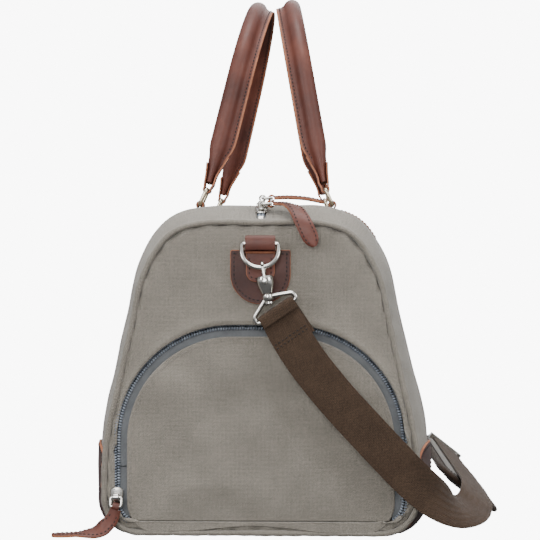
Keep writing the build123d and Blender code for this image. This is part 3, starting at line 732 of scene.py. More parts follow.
def joined(name, pieces):
    # one new piece made of several, with all their materials; the old ones are removed
    work = bmesh.new()
    materials = []
    for piece in pieces:
        table = []
        for material in piece.data.materials:
            if material not in materials:
                materials.append(material)
            table.append(materials.index(material))
        start = len(work.faces)
        work.from_mesh(piece.data)
        work.faces.ensure_lookup_table()
        for face in work.faces[start:]:
            face.material_index = table[face.material_index] if table else 0
    mesh = bpy.data.meshes.new(name)
    work.to_mesh(mesh)
    work.free()
    for material in materials:
        mesh.materials.append(material)
    for piece in pieces:
        bpy.data.objects.remove(piece)
    found = bpy.data.objects.new(name, mesh)
    bpy.context.scene.collection.objects.link(found)
    return found


# rows of stitches and zip teeth
def beadTree(label):
    tree = bpy.data.node_groups.new(label, "GeometryNodeTree")
    face = tree.interface
    face.new_socket("Geometry", in_out="INPUT", socket_type="NodeSocketGeometry")
    for title, kind, value in (
        ("Spacing", "NodeSocketFloat", 0.004),
        ("Bead", "NodeSocketVector", (0.0015, 0.0004, 0.0004)),
        ("Turned", "NodeSocketFloat", 0.0),
        ("Wander", "NodeSocketFloat", 0.05),
        ("Seed", "NodeSocketInt", 7),
        ("Finish", "NodeSocketMaterial", None),
    ):
        socket = face.new_socket(title, in_out="INPUT", socket_type=kind)
        if value is not None:
            socket.default_value = value
    face.new_socket("Geometry", in_out="OUTPUT", socket_type="NodeSocketGeometry")

    def node(kind, inputs, **settings):
        # inputs: for each socket a plain value or the output that feeds it
        made = tree.nodes.new(kind)
        for key, value in settings.items():
            setattr(made, key, value)
        for key, value in inputs.items():
            if isinstance(value, bpy.types.NodeSocket):
                tree.links.new(value, made.inputs[key])
            else:
                made.inputs[key].default_value = value
        return made.outputs[0] if made.outputs else None

    given = tree.nodes.new("NodeGroupInput").outputs
    curve = node("GeometryNodeMeshToCurve", {"Mesh": given["Geometry"]})
    even = node("GeometryNodeResampleCurve", {"Curve": curve, "Length": given["Spacing"]}, mode="LENGTH")
    ball = node("GeometryNodeMeshUVSphere", {"Segments": 6, "Rings": 5, "Radius": 1.0})
    tangent = node("GeometryNodeInputTangent", {})
    up = node("GeometryNodeInputNamedAttribute", {"Name": "up"}, data_type="FLOAT_VECTOR")
    first = node("FunctionNodeAlignEulerToVector", {"Vector": tangent}, axis="X")
    upright = {"Rotation": first, "Vector": up}
    second = node("FunctionNodeAlignEulerToVector", upright, axis="Z", pivot_axis="X")
    low, high = (
        node("ShaderNodeVectorMath", {0: reach, "Scale": given["Wander"]}, operation="SCALE")
        for reach in ((-0.3, -0.3, -1.0), (0.3, 0.3, 1.0))
    )
    limits = {"Min": low, "Max": high, "Seed": given["Seed"]}
    chance = node("FunctionNodeRandomValue", limits, data_type="FLOAT_VECTOR")
    tilt = node("ShaderNodeCombineXYZ", {"Z": given["Turned"]})
    slant = node("ShaderNodeVectorMath", {0: tilt, 1: chance})
    turned = node("FunctionNodeRotateEuler", {"Rotation": second, "Rotate By": slant}, space="LOCAL")
    spots = {"Points": even, "Instance": ball, "Rotation": turned, "Scale": given["Bead"]}
    real = node("GeometryNodeRealizeInstances", {0: node("GeometryNodeInstanceOnPoints", spots)})
    soft = node("GeometryNodeSetShadeSmooth", {"Geometry": real})
    coat = node("GeometryNodeSetMaterial", {"Geometry": soft, "Material": given["Finish"]})
    node("NodeGroupOutput", {0: coat})
    return tree


beads = beadTree("bead row")


def beadRow(name, lines, material, **sizes):
    # lines: (points, ups) pairs, one run of beads for each
    points, edges, ups = [], [], []
    for line, up in lines:
        start = len(points)
        points += line
        ups += up if isinstance(up, list) else [up] * len(line)
        edges += [(start + i, start + i + 1) for i in range(len(line) - 1)]
    mesh = bpy.data.meshes.new(name)
    mesh.from_pydata([tuple(p) for p in points], edges, [])
    layer = mesh.attributes.new("up", "FLOAT_VECTOR", "POINT")
    layer.data.foreach_set("vector", [part for up in ups for part in up])
    piece = bpy.data.objects.new(name, mesh)
    bpy.context.scene.collection.objects.link(piece)
    rows = piece.modifiers.new("beads", "NODES")
    rows.node_group = beads
    for socket in beads.interface.items_tree:
        if socket.in_out == "INPUT" and socket.name in sizes:
            rows[socket.identifier] = sizes[socket.name]
        if socket.in_out == "INPUT" and socket.name == "Finish":
            rows[socket.identifier] = material
    return applied(piece)


seams = {}


def stitch(body, line, up, kind="leather"):
    # a sewn line on that body; they all become one piece for each body and thread
    seams.setdefault((body, kind), []).append((line, up))


print("tools ready")


# the bag's own surface
outlines = {}


def halfOutline(y):
    # right half of the section at y in two lines: the base's middle to the slot's lip, then to the middle
    key = round(abs(y), 5)
    if key in outlines:
        return outlines[key]
    share = abs(y) / bag["halfLength"]
    half = bag["halfWidth"] + bag["bulge"] * (1 - share ** bag["bulgePower"])
    rise = min(1.0, (bag["halfLength"] - abs(y)) / bag["crownSlope"])
    top = bag["height"] + bag["crownRise"] * rise
    corner = bag["corner"]
    foot = bag["footLift"] * max(0.0, 1 - (bag["halfLength"] - abs(y)) / bag["crownSlope"]) ** 2
    flat = [Vector(((half - corner) * i / 12, foot)) for i in range(12)]
    turned = arcPoints((half - corner, foot + corner), corner, -90, 90, 12)
    knots = [Vector((half, foot + corner))]
    knots += [Vector((half * a, top * u)) for a, u in bag["shares"]] + [Vector((0, top))]
    spans = [(b - a).length for a, b in zip(knots, knots[1:])]
    slopes = [Vector((0, 1)) * spans[0]]
    for i in range(1, len(knots) - 1):
        before, after = spans[i - 1], spans[i]
        arriving, leaving = (knots[i] - knots[i - 1]) / before, (knots[i + 1] - knots[i]) / after
        slopes.append((arriving * after + leaving * before) / (before + after))
    slopes.append(Vector((-1, 0)) * spans[-1])
    side = []
    for i in range(len(knots) - 1):
        a = slopes[i] if i == 0 else slopes[i] * spans[i]
        b = slopes[i + 1] if i == len(knots) - 2 else slopes[i + 1] * spans[i]
        for step in range(1 if i == 0 else 0, 10):
            t = step / 10
            side.append(
                knots[i] * (2 * t ** 3 - 3 * t * t + 1) + a * (t ** 3 - 2 * t * t + t)
                + knots[i + 1] * (3 * t * t - 2 * t ** 3) + b * (t ** 3 - t * t)
            )
    side.append(knots[-1])
    line = flat + turned + side
    body = [p for p in line if p.x > bag["slot"] or p.y < 0.1]
    crossing = line[len(body)]
    previous = body[-1]
    part = (previous.x - bag["slot"]) / (previous.x - crossing.x)
    body.append(previous.lerp(crossing, part))
    outlines[key] = (spaced(body, 161), spaced([body[-1], Vector((0, top))], 9))
    return outlines[key]


def slack(x, y, z):
    # how far the filled canvas stands off its pattern at a point
    soft = noise.noise(Vector((x * 9 + 3, y * 7, z * 9))) * bag["dents"] - bag["dents"] * 0.35
    fine = noise.noise(Vector((x * 30, y * 26, z * 30 + 5))) * bag["ripples"]
    end = bag["wrapEnd"] - abs(y)
    byEnd = exp(-max(end, 0.0) / bag["puckerReach"])
    along = (z + abs(x) * 0.7) * tau / bag["puckerPitch"]
    pull = bag["puckers"] * byEnd * (sin(along + 2.5 * noise.noise(Vector((x * 20, y * 5, z * 20)))) - 0.3)
    drag = bag["drag"] * exp(-((abs(y) - bag["dragAt"]) / bag["dragSpread"]) ** 2)
    drag *= max(0.0, (z - 0.10) / 0.18)
    calm = min(1.0, max(0.0, z / 0.03)) * (1 - 0.75 * byEnd)
    return soft * calm + fine * min(1.0, z / 0.02) + pull * min(1.0, z / 0.03) + drag


def bodyPoint(side, share, y, lift=0.0):
    # share runs 0..1 from the middle of the base to the slot's lip, and on to 1.05 at the middle
    body, cap = halfOutline(y)
    line, place = (body, share) if share <= 1 else (cap, (share - 1) / 0.05)
    place *= len(line) - 1
    index = min(int(place), len(line) - 2)
    a, b = line[index], line[index + 1]
    point = a.lerp(b, place - index)
    along = (b - a).normalized()
    out = Vector((along.y, -along.x))
    beside = min(1.0, max(0.0, (point.x - bag["slot"]) / 0.03)) if point.y > 0.2 else 1.0
    away = lift + slack(point.x * side, y, point.y) * beside
    return Vector((side * (point.x + out.x * away), y, point.y + out.y * away))


def shareAt(y, test):
    body, _ = halfOutline(y)
    for index, point in enumerate(body):
        if test(point):
            return index / (len(body) - 1)
    return 1.0


def girthAt(y):
    body, _ = halfOutline(y)
    return sum((a - b).length for a, b in zip(body, body[1:]))


def wrapRows(count, lift, end):
    rim = [-end + back for back in (0.0012, 0.004, 0.008)]
    ys = [-end + 2 * end * i / count for i in range(count + 1)] + rim + [-y for y in rim]
    shares = [i / 84 for i in range(85)] + [1.0166, 1.0333, 1.05]
    rows = []
    for y in sorted({round(y, 5) for y in ys + [-bag["slotEnd"], bag["slotEnd"]]}):
        right, left = ([bodyPoint(side, share, y, lift) for share in shares] for side in (1, -1))
        rows.append(right + left[-2:0:-1])
        for p in rows[-1]:
            p.z = max(p.z, 0.0)
    return rows


def openSlot(work):
    # the top zip's gap
    def inSlot(middle):
        return abs(middle.x) < bag["slot"] - 0.001 and middle.z > 0.2 and abs(middle.y) < bag["slotEnd"]

    gone = [face for face in work.faces if inSlot(face.calc_center_median())]
    bmesh.ops.delete(work, geom=gone, context="FACES")


wraps = {
    "canvas_body": (104, 0.0, bag["wrapEnd"], canvasCloth, bag["canvas"], "canvas", "canvas_wrap"),
    "inner_lining": (40, -0.0036, 0.2545, liningCloth, 0.0006, "lining", "lining"),
}
for name, (count, lift, end, cloth, thickness, slotName, node) in wraps.items():
    piece = gridPiece(name, wrapRows(count, lift, end), [cloth], closed=True)
    thicken(outwardFaces(reworked(piece, openSlot)), thickness)
    settle(piece, "bag", slotName, node)
print("canvas body done")


# end panels
def archOutline(grow, steps=22):
    # the end zip's line, grown outwards, from the foot on the right round to the foot on the left
    inset = arch["inset"]
    side = bag["halfWidth"] - inset + grow
    top = arch["height"] + grow
    big, small = arch["radius"] + grow, bag["corner"] - inset + grow
    line = arcPoints((side - small, bag["corner"]), small, -arch["turn"], arch["turn"], 8)
    straight = top - big - line[-1].y
    line += [Vector((side, line[-1].y + straight * i / 9)) for i in range(1, 9)] if straight > 0.004 else []
    line += arcPoints((side - big, top - big), big, 0, 90, steps)
    return line + mirrored(line)


def endOutline(inset):
    # whole outline of the bag's end from the base's middle round anticlockwise
    body, cap = halfOutline(bag["halfLength"])
    right = insetLoop(body[:-1] + cap, inset)[1:-1]
    return [Vector((0, body[0].y + inset))] + right + [Vector((0, cap[-1].y - inset))] + mirrored(right)


def endSlack(x, z):
    # how far the filled end stands forward of its flat pattern
    edge = min(1.0, max(0.0, (0.262 - z) / 0.03)) * min(1.0, max(0.0, (z - 0.012) / 0.03))
    soft = noise.noise(Vector((x * 13, 4.2, z * 11))) * 0.0012
    fine = noise.noise(Vector((x * 38, 1.1, z * 34))) * 0.0004
    return (soft + fine) * edge


def puckering(point, loopShare, depth):
    beat = sin(loopShare * tau * 46 + 3 * noise.noise(Vector((point.x * 30, 2.0, point.y * 30))))
    return beat * depth


def endGrid(outer, inner, count, face, sign, name, hood=0.0):
    # canvas between two loops of the same number of points, outer one first
    rows = []
    total = len(outer)
    for r in range(count + 1):
        share = r / count
        row = []
        for c in range(total):
            p = outer[c].lerp(inner[c], share)
            span = (outer[c] - inner[c]).length
            rim = exp(-share * span / 0.009)
            groove = exp(-share * span / 0.0035)
            forward = endSlack(p.x, p.y) * (1 - rim) + puckering(p, c / total, 0.0012) * rim - 0.0018 * groove
            roll = hood * exp(-((1 - share) * span) / 0.007)
            forward += roll * min(1.0, max(0.0, (p.y - 0.085) / 0.06))
            row.append(Vector((p.x, sign * (face + forward), p.y)))
        rows.append(row)
    uvs = [(p.x, p.z) for row in rows for p in row]
    piece = gridPiece(name, rows, [canvasCloth], closed=True, uvs=uvs)

    def closePole(work):
        pole = [v for v in work.verts if v.index >= count * total]
        bmesh.ops.pointmerge(work, verts=pole, merge_co=sum((v.co for v in pole), Vector()) / total)

    return reworked(piece, closePole) if (inner[0] - inner[total // 2]).length < 0.02 else piece


def closedArch(grow, count):
    line = archOutline(grow)
    return evenLoop([Vector((0, line[0].y))] + line, count)


around = 260
outer = evenLoop(endOutline(0.0022), around)
inner = closedArch(arch["toothReach"] - 0.0009, around)
nearPanel = endGrid(outer, inner, 16, arch["panelFront"] - 0.0002, -1, "near_end_canvas", 0.0036)
facing(nearPanel, near)
thicken(nearPanel, 0.0018)
settle(nearPanel, "bag", "canvas", "near_end_panel")

farLoop = [Vector((p.x * 0.02, 0.13 + (p.y - 0.13) * 0.02)) for p in outer]
farPanel = endGrid(outer, farLoop, 34, arch["panelFront"] - 0.0002, 1, "far_end_canvas")
facing(farPanel, yWay)
thicken(farPanel, 0.0018)
settle(farPanel, "bag", "canvas", "far_end_panel")

welt = {"radius": 0.0029, "lumps": 0.00035, "sides": 12}
weltLoop = evenLoop(endOutline(0.0), around)
for sign, word in ((-1, "near"), (1, "far")):
    line = [Vector((p.x, sign * bag["halfLength"], p.y)) for p in weltLoop]
    rings = []
    for c, p in enumerate(line):
        along = (line[(c + 1) % len(line)] - line[c - 1]).normalized()
        beat = noise.noise(Vector((p.x * 60, sign * 3.0, p.z * 60))) + 0.5 * sin(c * 1.7)
        size = welt["radius"] + welt["lumps"] * (beat - 0.8)
        out = Vector((along.z, 0, -along.x))
        rings.append(circle(p, out, Vector((0, sign, 0)), size, welt["sides"], extra=1))
    rings.append([q.copy() for q in rings[0]])
    piping = gridPiece(word + "_welt", rings, [canvasCloth])
    outwardFaces(piping)
    settle(piping, "bag", "canvas", word + "_piping")
print("end panels done")


# end zip and its flap
def tapePiece(name, lines, columns, depthAt):
    # a zip tape between two lines of the end; depthAt(share) is how far forward it stands
    rows = []
    for a, b in lines:
        shares = [c / columns for c in range(columns + 1)]
        flat = [a.lerp(b, share) for share in shares]
        rows.append([Vector((p.x, -depthAt(share), p.y)) for p, share in zip(flat, shares)])
    return gridPiece(name, rows, [zipTape])


tapeThickness = 0.0008
outerLines = zip(archOutline(0.0055, 30), archOutline(0.0003, 30))
outerTape = outwardFaces(tapePiece("zip_tape_outer", outerLines, 5, lambda share: arch["tapeFace"]))
thicken(facing(outerTape, near), tapeThickness)
settle(outerTape, "bag", "zip_tape", "end_zip_tape")

# below and left of these the flap's side of the zip is a piece of its own
cornerTop, cornerEdge = 0.058, -0.010


def finer(points, parts=8):
    return [a.lerp(b, k / parts) for a, b in zip(points, points[1:]) for k in range(parts)] + [points[-1]]


def tapeStrip(part, name):
    lines = []
    for a, b in zip(finer(archOutline(-0.0003, 30)), finer(archOutline(-0.0140, 30))):
        soft = a.y < cornerTop + (0.0020 if part == "corner" else 0.0) and a.x < cornerEdge
        if (part == "corner") == soft:
            lines.append((a, b))
    piece = tapePiece(name, lines, 8, lambda share: arch["tapeFace"] + 0.0006 * sin(pi * min(1, share * 1.7)))
    return thicken(facing(piece, near), tapeThickness)


coil = {"Spacing": 0.00230, "Bead": (0.00088, 0.00165, 0.00150), "Wander": 0.02, "Seed": 5}
coilTurn = 0.22


def coilLine(grow, part=None):
    line = archOutline(grow, 40)
    points = [Vector((p.x, -(arch["chainFront"] - 0.0016), p.y)) for p in (finer(line) if part else line)]
    if part == "corner":
        points = [p for p in points if p.z < cornerTop + 0.0010 and p.x < cornerEdge]
    if part == "flap":
        points = [p for p in points if not (p.z < cornerTop and p.x < cornerEdge)]
    return points


def coilPiece(name, grow, part, turned):
    return beadRow(name, [(coilLine(grow, part), near)], coilPlastic, Turned=turned, **coil)


outerCoil = coilPiece("zip_coil_outer", 0.00145, None, coilTurn)
settle(outerCoil, "bag", "zip_teeth", "end_zip_teeth")
flapCoil = coilPiece("zip_coil_flap", -0.00145, "flap", -coilTurn)
settle(flapCoil, "end_flap", "zip_teeth", "flap_teeth")
settle(tapeStrip("flap", "zip_tape_flap"), "end_flap", "zip_tape", "flap_tape")
cornerCoil = coilPiece("zip_coil_corner", -0.00145, "corner", -coilTurn)
cornerTape = tapeStrip("corner", "zip_tape_corner")
settle(joined("zip_corner", [cornerCoil, cornerTape]), "end_flap", "zip_teeth", "flap_zip_corner")

flap = {
    "thickness": 0.0026, "pillow": 0.0046, "foot": 0.0131, "creases": 0.0030, "hollow": 0.0024,
    "low": 0.0028, "corner": 0.026, "arched": 0.0062, "sag": 0.0008, "middle": Vector((0, 0.085)),
}


def flapEdge(z, inset):
    # half width of the flap's canvas at a height near its rounded lower corners
    r = flap["corner"]
    half = bag["halfWidth"] - arch["inset"] - inset
    down = min(1.0, max(0.0, (flap["low"] + r - z) / r))
    return half - r + r * (1 - down * down) ** 0.5


def flapLoop(inset):
    line = [p for p in archOutline(-inset, 40) if p.y > flap["low"] + flap["corner"]]
    rise = flap["low"] + flap["corner"] - flap["foot"]
    heights = [flap["foot"] + rise * i / 14 for i in range(15)]
    right = [Vector((flapEdge(z, inset), z)) for z in heights]
    return evenLoop([Vector((0, flap["foot"]))] + right + line + mirrored(right), 150)


def flapForward(x, z):
    # the door's padding and drag creases
    edge = 1.0
    for room in (arch["height"] - 0.012 - z, z - flap["foot"], 0.112 - abs(x)):
        edge *= min(1.0, max(0.0, room / 0.03))
    swell = flap["pillow"] * edge * (0.6 + 0.4 * noise.noise(Vector((x * 9, 7.7, z * 9))))
    slanting = sin((x * 0.8 + z) * 62 + 3.4 * noise.noise(Vector((x * 12, 0.5, z * 12))))
    hollow = exp(-((x + 0.030 + 0.35 * (z - 0.08)) / 0.030) ** 2) * exp(-((z - 0.07) / 0.05) ** 2)
    wrinkle = noise.noise(Vector((x * 26, 3.3, z * 26)))
    return swell + edge * (flap["creases"] * (0.55 * slanting + 0.8 * wrinkle) - flap["hollow"] * hollow)


def onFlap(u, v, h):
    swell = flapForward(u, v) if h > 0.0005 else 0
    return Vector((u, -(arch["flapFront"] - flap["thickness"] + h + swell), v))


flapCanvas = plate("flap_door", flapLoop(arch["flapInset"]), onFlap, flap["thickness"], [canvasCloth],
                   rings=26, soften=0.0009, centre=flap["middle"])
settle(flapCanvas, "end_flap", "canvas", "flap_canvas")


# the canvas goes on below the flap's hinge line and hangs in a shallow arch
apronTop = flap["foot"] - 0.0003
apronHeights = [apronTop - (apronTop - flap["low"]) * i / 8 for i in range(9)]
apronEdge = [Vector((flapEdge(z, arch["flapInset"]), z)) for z in apronHeights]
apronLow = [Vector((x / 1000, flap["low"] + flap["arched"] * eased(1 - abs(x / 1000 + 0.006) / 0.078)))
            for x in range(84, -85, -4)]
apronLoop = apronEdge + apronLow + mirrored(apronEdge)
apronLoop = [apronLoop[0]] + list(reversed(apronLoop))
apronLoop = spaced(apronLoop, 181)[:-1]


def onApron(u, v, h):
    droop = flap["sag"] * noise.noise(Vector((u * 30, 2.2, v * 30)))
    return Vector((u, -(arch["flapFront"] - flap["thickness"] + h + 0.0006 + droop), v))


apron = plate("flap_apron", apronLoop, onApron, flap["thickness"], [canvasCloth], rings=3, soften=0.0006,
              centre=Vector((0, 0.0112)))
settle(apron, "bag", "canvas")


def onFlapBack(u, v, h):
    return Vector((u, -(arch["tapeFace"] - 0.0024 + h), v))


flapLining = plate("flap_inside", flapLoop(0.005), onFlapBack, 0.0007, [liningCloth], soften=0.0002,
                   centre=flap["middle"])
settle(flapLining, "end_flap", "lining", "flap_lining")
hem = insetLoop(flapLoop(arch["flapInset"]), 0.0034)
hem = [Vector((p.x, -(arch["flapFront"] + 0.0004), p.y)) for p in hem if p.y > 0.02]
hem = [p + Vector((0, -flapForward(p.x, p.z), 0)) for p in hem]
stitch("end_flap", hem, near, "canvas")

pocket = {
    "depth": 0.148, "sag": 0.004, "mouth": 0.2572, "wall": 0.0006,
    "middle": Vector((0, 0.09)), "grow": -0.004,
}
pocketRows = []
for r in range(26):
    share = r / 25
    row = []
    for p in closedArch(0.0009 if r < 25 else pocket["grow"], 150):
        drop = pocket["sag"] * sin(pi * share) * max(0.0, (p.y - 0.05) / 0.13)
        wobble = 0.0016 * noise.noise(Vector((p.x * 16, share * 3, p.y * 16))) * sin(pi * share)
        inwards = pocket["middle"] - p
        q = p + inwards * ((drop + abs(wobble)) / max(inwards.length, 0.02))
        row.append(Vector((q.x, -(pocket["mouth"] - pocket["depth"] * share), q.y)))
    pocketRows.append(row)
for ring in range(1, 9):
    share = 1 - ring / 9
    floorY = -(pocket["mouth"] - pocket["depth"] + 0.002 * sin(share * 9))
    flat = [pocket["middle"] + (p - pocket["middle"]) * share for p in closedArch(pocket["grow"], 150)]
    pocketRows.append([Vector((q.x, floorY, q.y)) for q in flat])
shoePocket = gridPiece("shoe_pocket_bag", pocketRows, [liningCloth], closed=True)
thicken(shoePocket, pocket["wall"], 0.0)
settle(shoePocket, "bag", "lining", "shoe_pocket")
print("end zip, flap and pocket done")


# top zip
topZip = {"half": 0.2517, "chain": 0.2474}


def crownZ(y):
    return bag["height"] + bag["crownRise"] * min(1.0, (bag["halfLength"] - abs(y)) / bag["crownSlope"])


def crownLine(x, rise, end, count=60):
    ys = [-end + 2 * end * i / (count - 1) for i in range(count)]
    return [Vector((x, y, crownZ(y) + rise)) for y in ys]


tapes = []
for side in (-1, 1):
    rows = []
    for p in crownLine(0, -0.0009, topZip["half"], 90):
        rows.append([Vector((side * (0.0008 + 0.0117 * c / 9), p.y, p.z - 0.0019 * min(1.0, c / 4) ** 2))
                     for c in range(10)])
    strip = facing(gridPiece("tape", rows, [zipTape]), zWay)
    tapes.append(thicken(strip, 0.0009))
settle(joined("top_zip_tape", tapes), "bag", "zip_tape", "top_zip_tapes")
topBeads = {"Spacing": 0.0018, "Bead": (0.0007, 0.0016, 0.0014), "Wander": 0.02, "Seed": 3}
rowsOfTeeth = []
for side in (-1, 1):
    line = [(crownLine(side * 0.00148, -0.00005, topZip["chain"]), zWay)]
    rowsOfTeeth.append(beadRow("teeth", line, coilPlastic, Turned=0.2 * side, **topBeads))
settle(joined("top_zip_coil", rowsOfTeeth), "bag", "zip_teeth", "top_zip_teeth")
for side in (-1, 1):
    line = [bodyPoint(side, 1 - 0.0029 / 0.34, -0.25 + 0.5 * i / 80, 0.0002) for i in range(81)]
    stitch("bag", line, zWay, "canvas")

# leather on the body
hideThickness = 0.002
onHide = hideThickness + 0.0001


def roundedSquare(width, height, radii):
    # anticlockwise loop from the lower left corner; one radius for each corner
    corners = [(radii[0], radii[0], 180), (width - radii[1], radii[1], 270),
               (width - radii[2], height - radii[2], 0), (radii[3], height - radii[3], 90)]
    loop = []
    for (x, y, start), radius in zip(corners, radii):
        loop += arcPoints((x, y), radius, start, 90, 5)
    return evenLoop(loop, 112)


cornerPatch = {
    "length": 0.0716, "height": 0.0735, "rings": 10, "at": 0.22, "radii": (0.001, 0.001, 0.004, 0.022),
}
low = shareAt(cornerPatch["at"], lambda p: p.x > 0.122)
high = shareAt(cornerPatch["at"], lambda p: p.y > cornerPatch["height"])
patchGirth = girthAt(cornerPatch["at"])
patchLoop = roundedSquare(cornerPatch["length"], (high - low) * patchGirth, cornerPatch["radii"])
patches = []
for side in (-1, 1):
    for end in (-1, 1):
        def place(u, v, h, side=side, end=end):
            y = end * (bag["wrapEnd"] - 0.0003 - u)
            p = bodyPoint(side, low + v / patchGirth, y, 0.0004 + h)
            p.z = max(p.z, 0.0003)
            return p

        patches.append(plate("patch", patchLoop, place, hideThickness, darkCut,
                             rings=cornerPatch["rings"]))
        sewn = [p for p in insetLoop(patchLoop, 0.0032) if p.x > 0.004 and p.y > 0.006]
        stitch("bag", [place(p.x, p.y, onHide) for p in sewn], Vector((side, 0, 0.2)))
settle(joined("corner_leathers", patches), "bag", "leather", "corner_patches")

ringPatch = {"half": 0.0255, "top": 0.243, "drop": 0.046, "arc": 0.222, "back": 0.2618, "margin": 0.0032}
ringTab = {
    "half": 0.012, "bottom": 0.216, "bar": 0.248, "barY": 0.2684,
    "inner": 0.0023, "face": 0.2641, "slack": 0.0040,
}


def dLoop():
    half, top, arcZ = ringPatch["half"], ringPatch["top"], ringPatch["arc"]
    low = top - ringPatch["drop"]
    rise = arcZ - low
    radius = (half * half + rise * rise) / (2 * rise)
    centre = (0, low + radius)
    angle = atan2(arcZ - centre[1], half)
    degrees = angle * 180 / pi
    loop = arcPoints(centre, radius, 180 - degrees - 360, 180 + 2 * degrees, 24)
    corners = [Vector(p) for p in ((half, arcZ), (half, top), (-half, top), (-half, arcZ))]
    loop += roundedLine(corners, 0.0012)[1:-1]
    return evenLoop(loop, 96)


def tabLoop():
    half, low, high, r = ringTab["half"], ringTab["bottom"], ringTab["bar"] - 0.002, 0.008
    loop = arcPoints((half - r, low + r), r, -90, 90, 8) + [Vector((half, high)), Vector((-half, high))]
    loop += arcPoints((r - half, low + r), r, 180, 90, 8)
    return evenLoop(loop, 80)


for sign, word in ((-1, "near"), (1, "far")):
    front = Vector((0, sign, 0))

    def onPatch(u, v, h, sign=sign):
        uneven = 0.0003 * noise.noise(Vector((u * 60, sign, v * 60)))
        return Vector((u, sign * (ringPatch["back"] + h + uneven), v))

    def onTab(u, v, h, sign=sign):
        return Vector((u, sign * (ringTab["face"] + h), v))

    patch = plate(word + "_ring_leather", dLoop(), onPatch, hideThickness, darkCut, rings=7)
    settle(patch, "bag", "leather", word + "_ring_patch")
    sewn = insetLoop(dLoop(), ringPatch["margin"])
    stitch("bag", [onPatch(p.x, p.y, onHide) for p in sewn + [sewn[0]]], front)
    tab = plate("tab", tabLoop(), onTab, hideThickness, brownCut, rings=6)
    sleeve = []
    mid = ringTab["inner"] + hideThickness / 2
    for i in range(25):
        angle = radians(-118 + 300 * i / 24) - 0.2
        tall = mid + ringTab["slack"] * (1 if cos(angle) < 0 else 0.75)
        away, up = mid * sin(angle), tall * cos(angle)
        sleeve.append(Vector((0, sign * (ringTab["barY"] - away), ringTab["bar"] + up)))
    normals = [(p - Vector((0, sign * ringTab["barY"], ringTab["bar"]))).normalized() for p in sleeve]
    width = 2 * ringTab["half"] + 0.0012
    turnedOver = band("sleeve", sleeve, normals, width, hideThickness, brownCut)
    settle(joined(word + "_ring_loop", [tab, turnedOver]), "bag", "leather", word + "_ring_tab")
    sewn = [p for p in insetLoop(tabLoop(), 0.0028) if p.y < 0.236]
    sewn.sort(key=lambda p: atan2(p.x, 0.23 - p.y))
    stitch("bag", [onTab(p.x, p.y, onHide) for p in sewn], front)
print("leather on the body done")

# handles
handle = {
    "anchorX": 0.062, "anchorY": 0.112, "anchorZ": 0.287039,
    "ringLean": 24, "ringHeight": 0.016, "ringWidth": 0.027, "ringWire": 0.0018, "wrap": 0.0031,
    "leg": 9, "legLength": 0.112, "roll": 0.0085, "flange": 0.016, "flap": 0.0019,
    "start": 0.0065, "thin": 0.0036, "taper": 0.040,
    "strapWidth": 0.017, "tabWidth": 0.018, "tabReach": 0.046,
}


def rollSize(toEnd):
    # half thickness across the roll, half width along the ring's bar, reach of the sewn edge
    full = eased(toEnd / handle["taper"])
    pinch = exp(-((toEnd - 0.026) / 0.005) ** 2)
    thick = (handle["thin"] + (handle["roll"] - handle["thin"]) * full) * (1 - 0.09 * pinch)
    reach = thick + 0.0007 + (handle["flange"] - handle["roll"] - 0.0007) * eased((toEnd - 0.004) / 0.042)
    return thick, handle["roll"] * (0.96 + 0.04 * full), reach


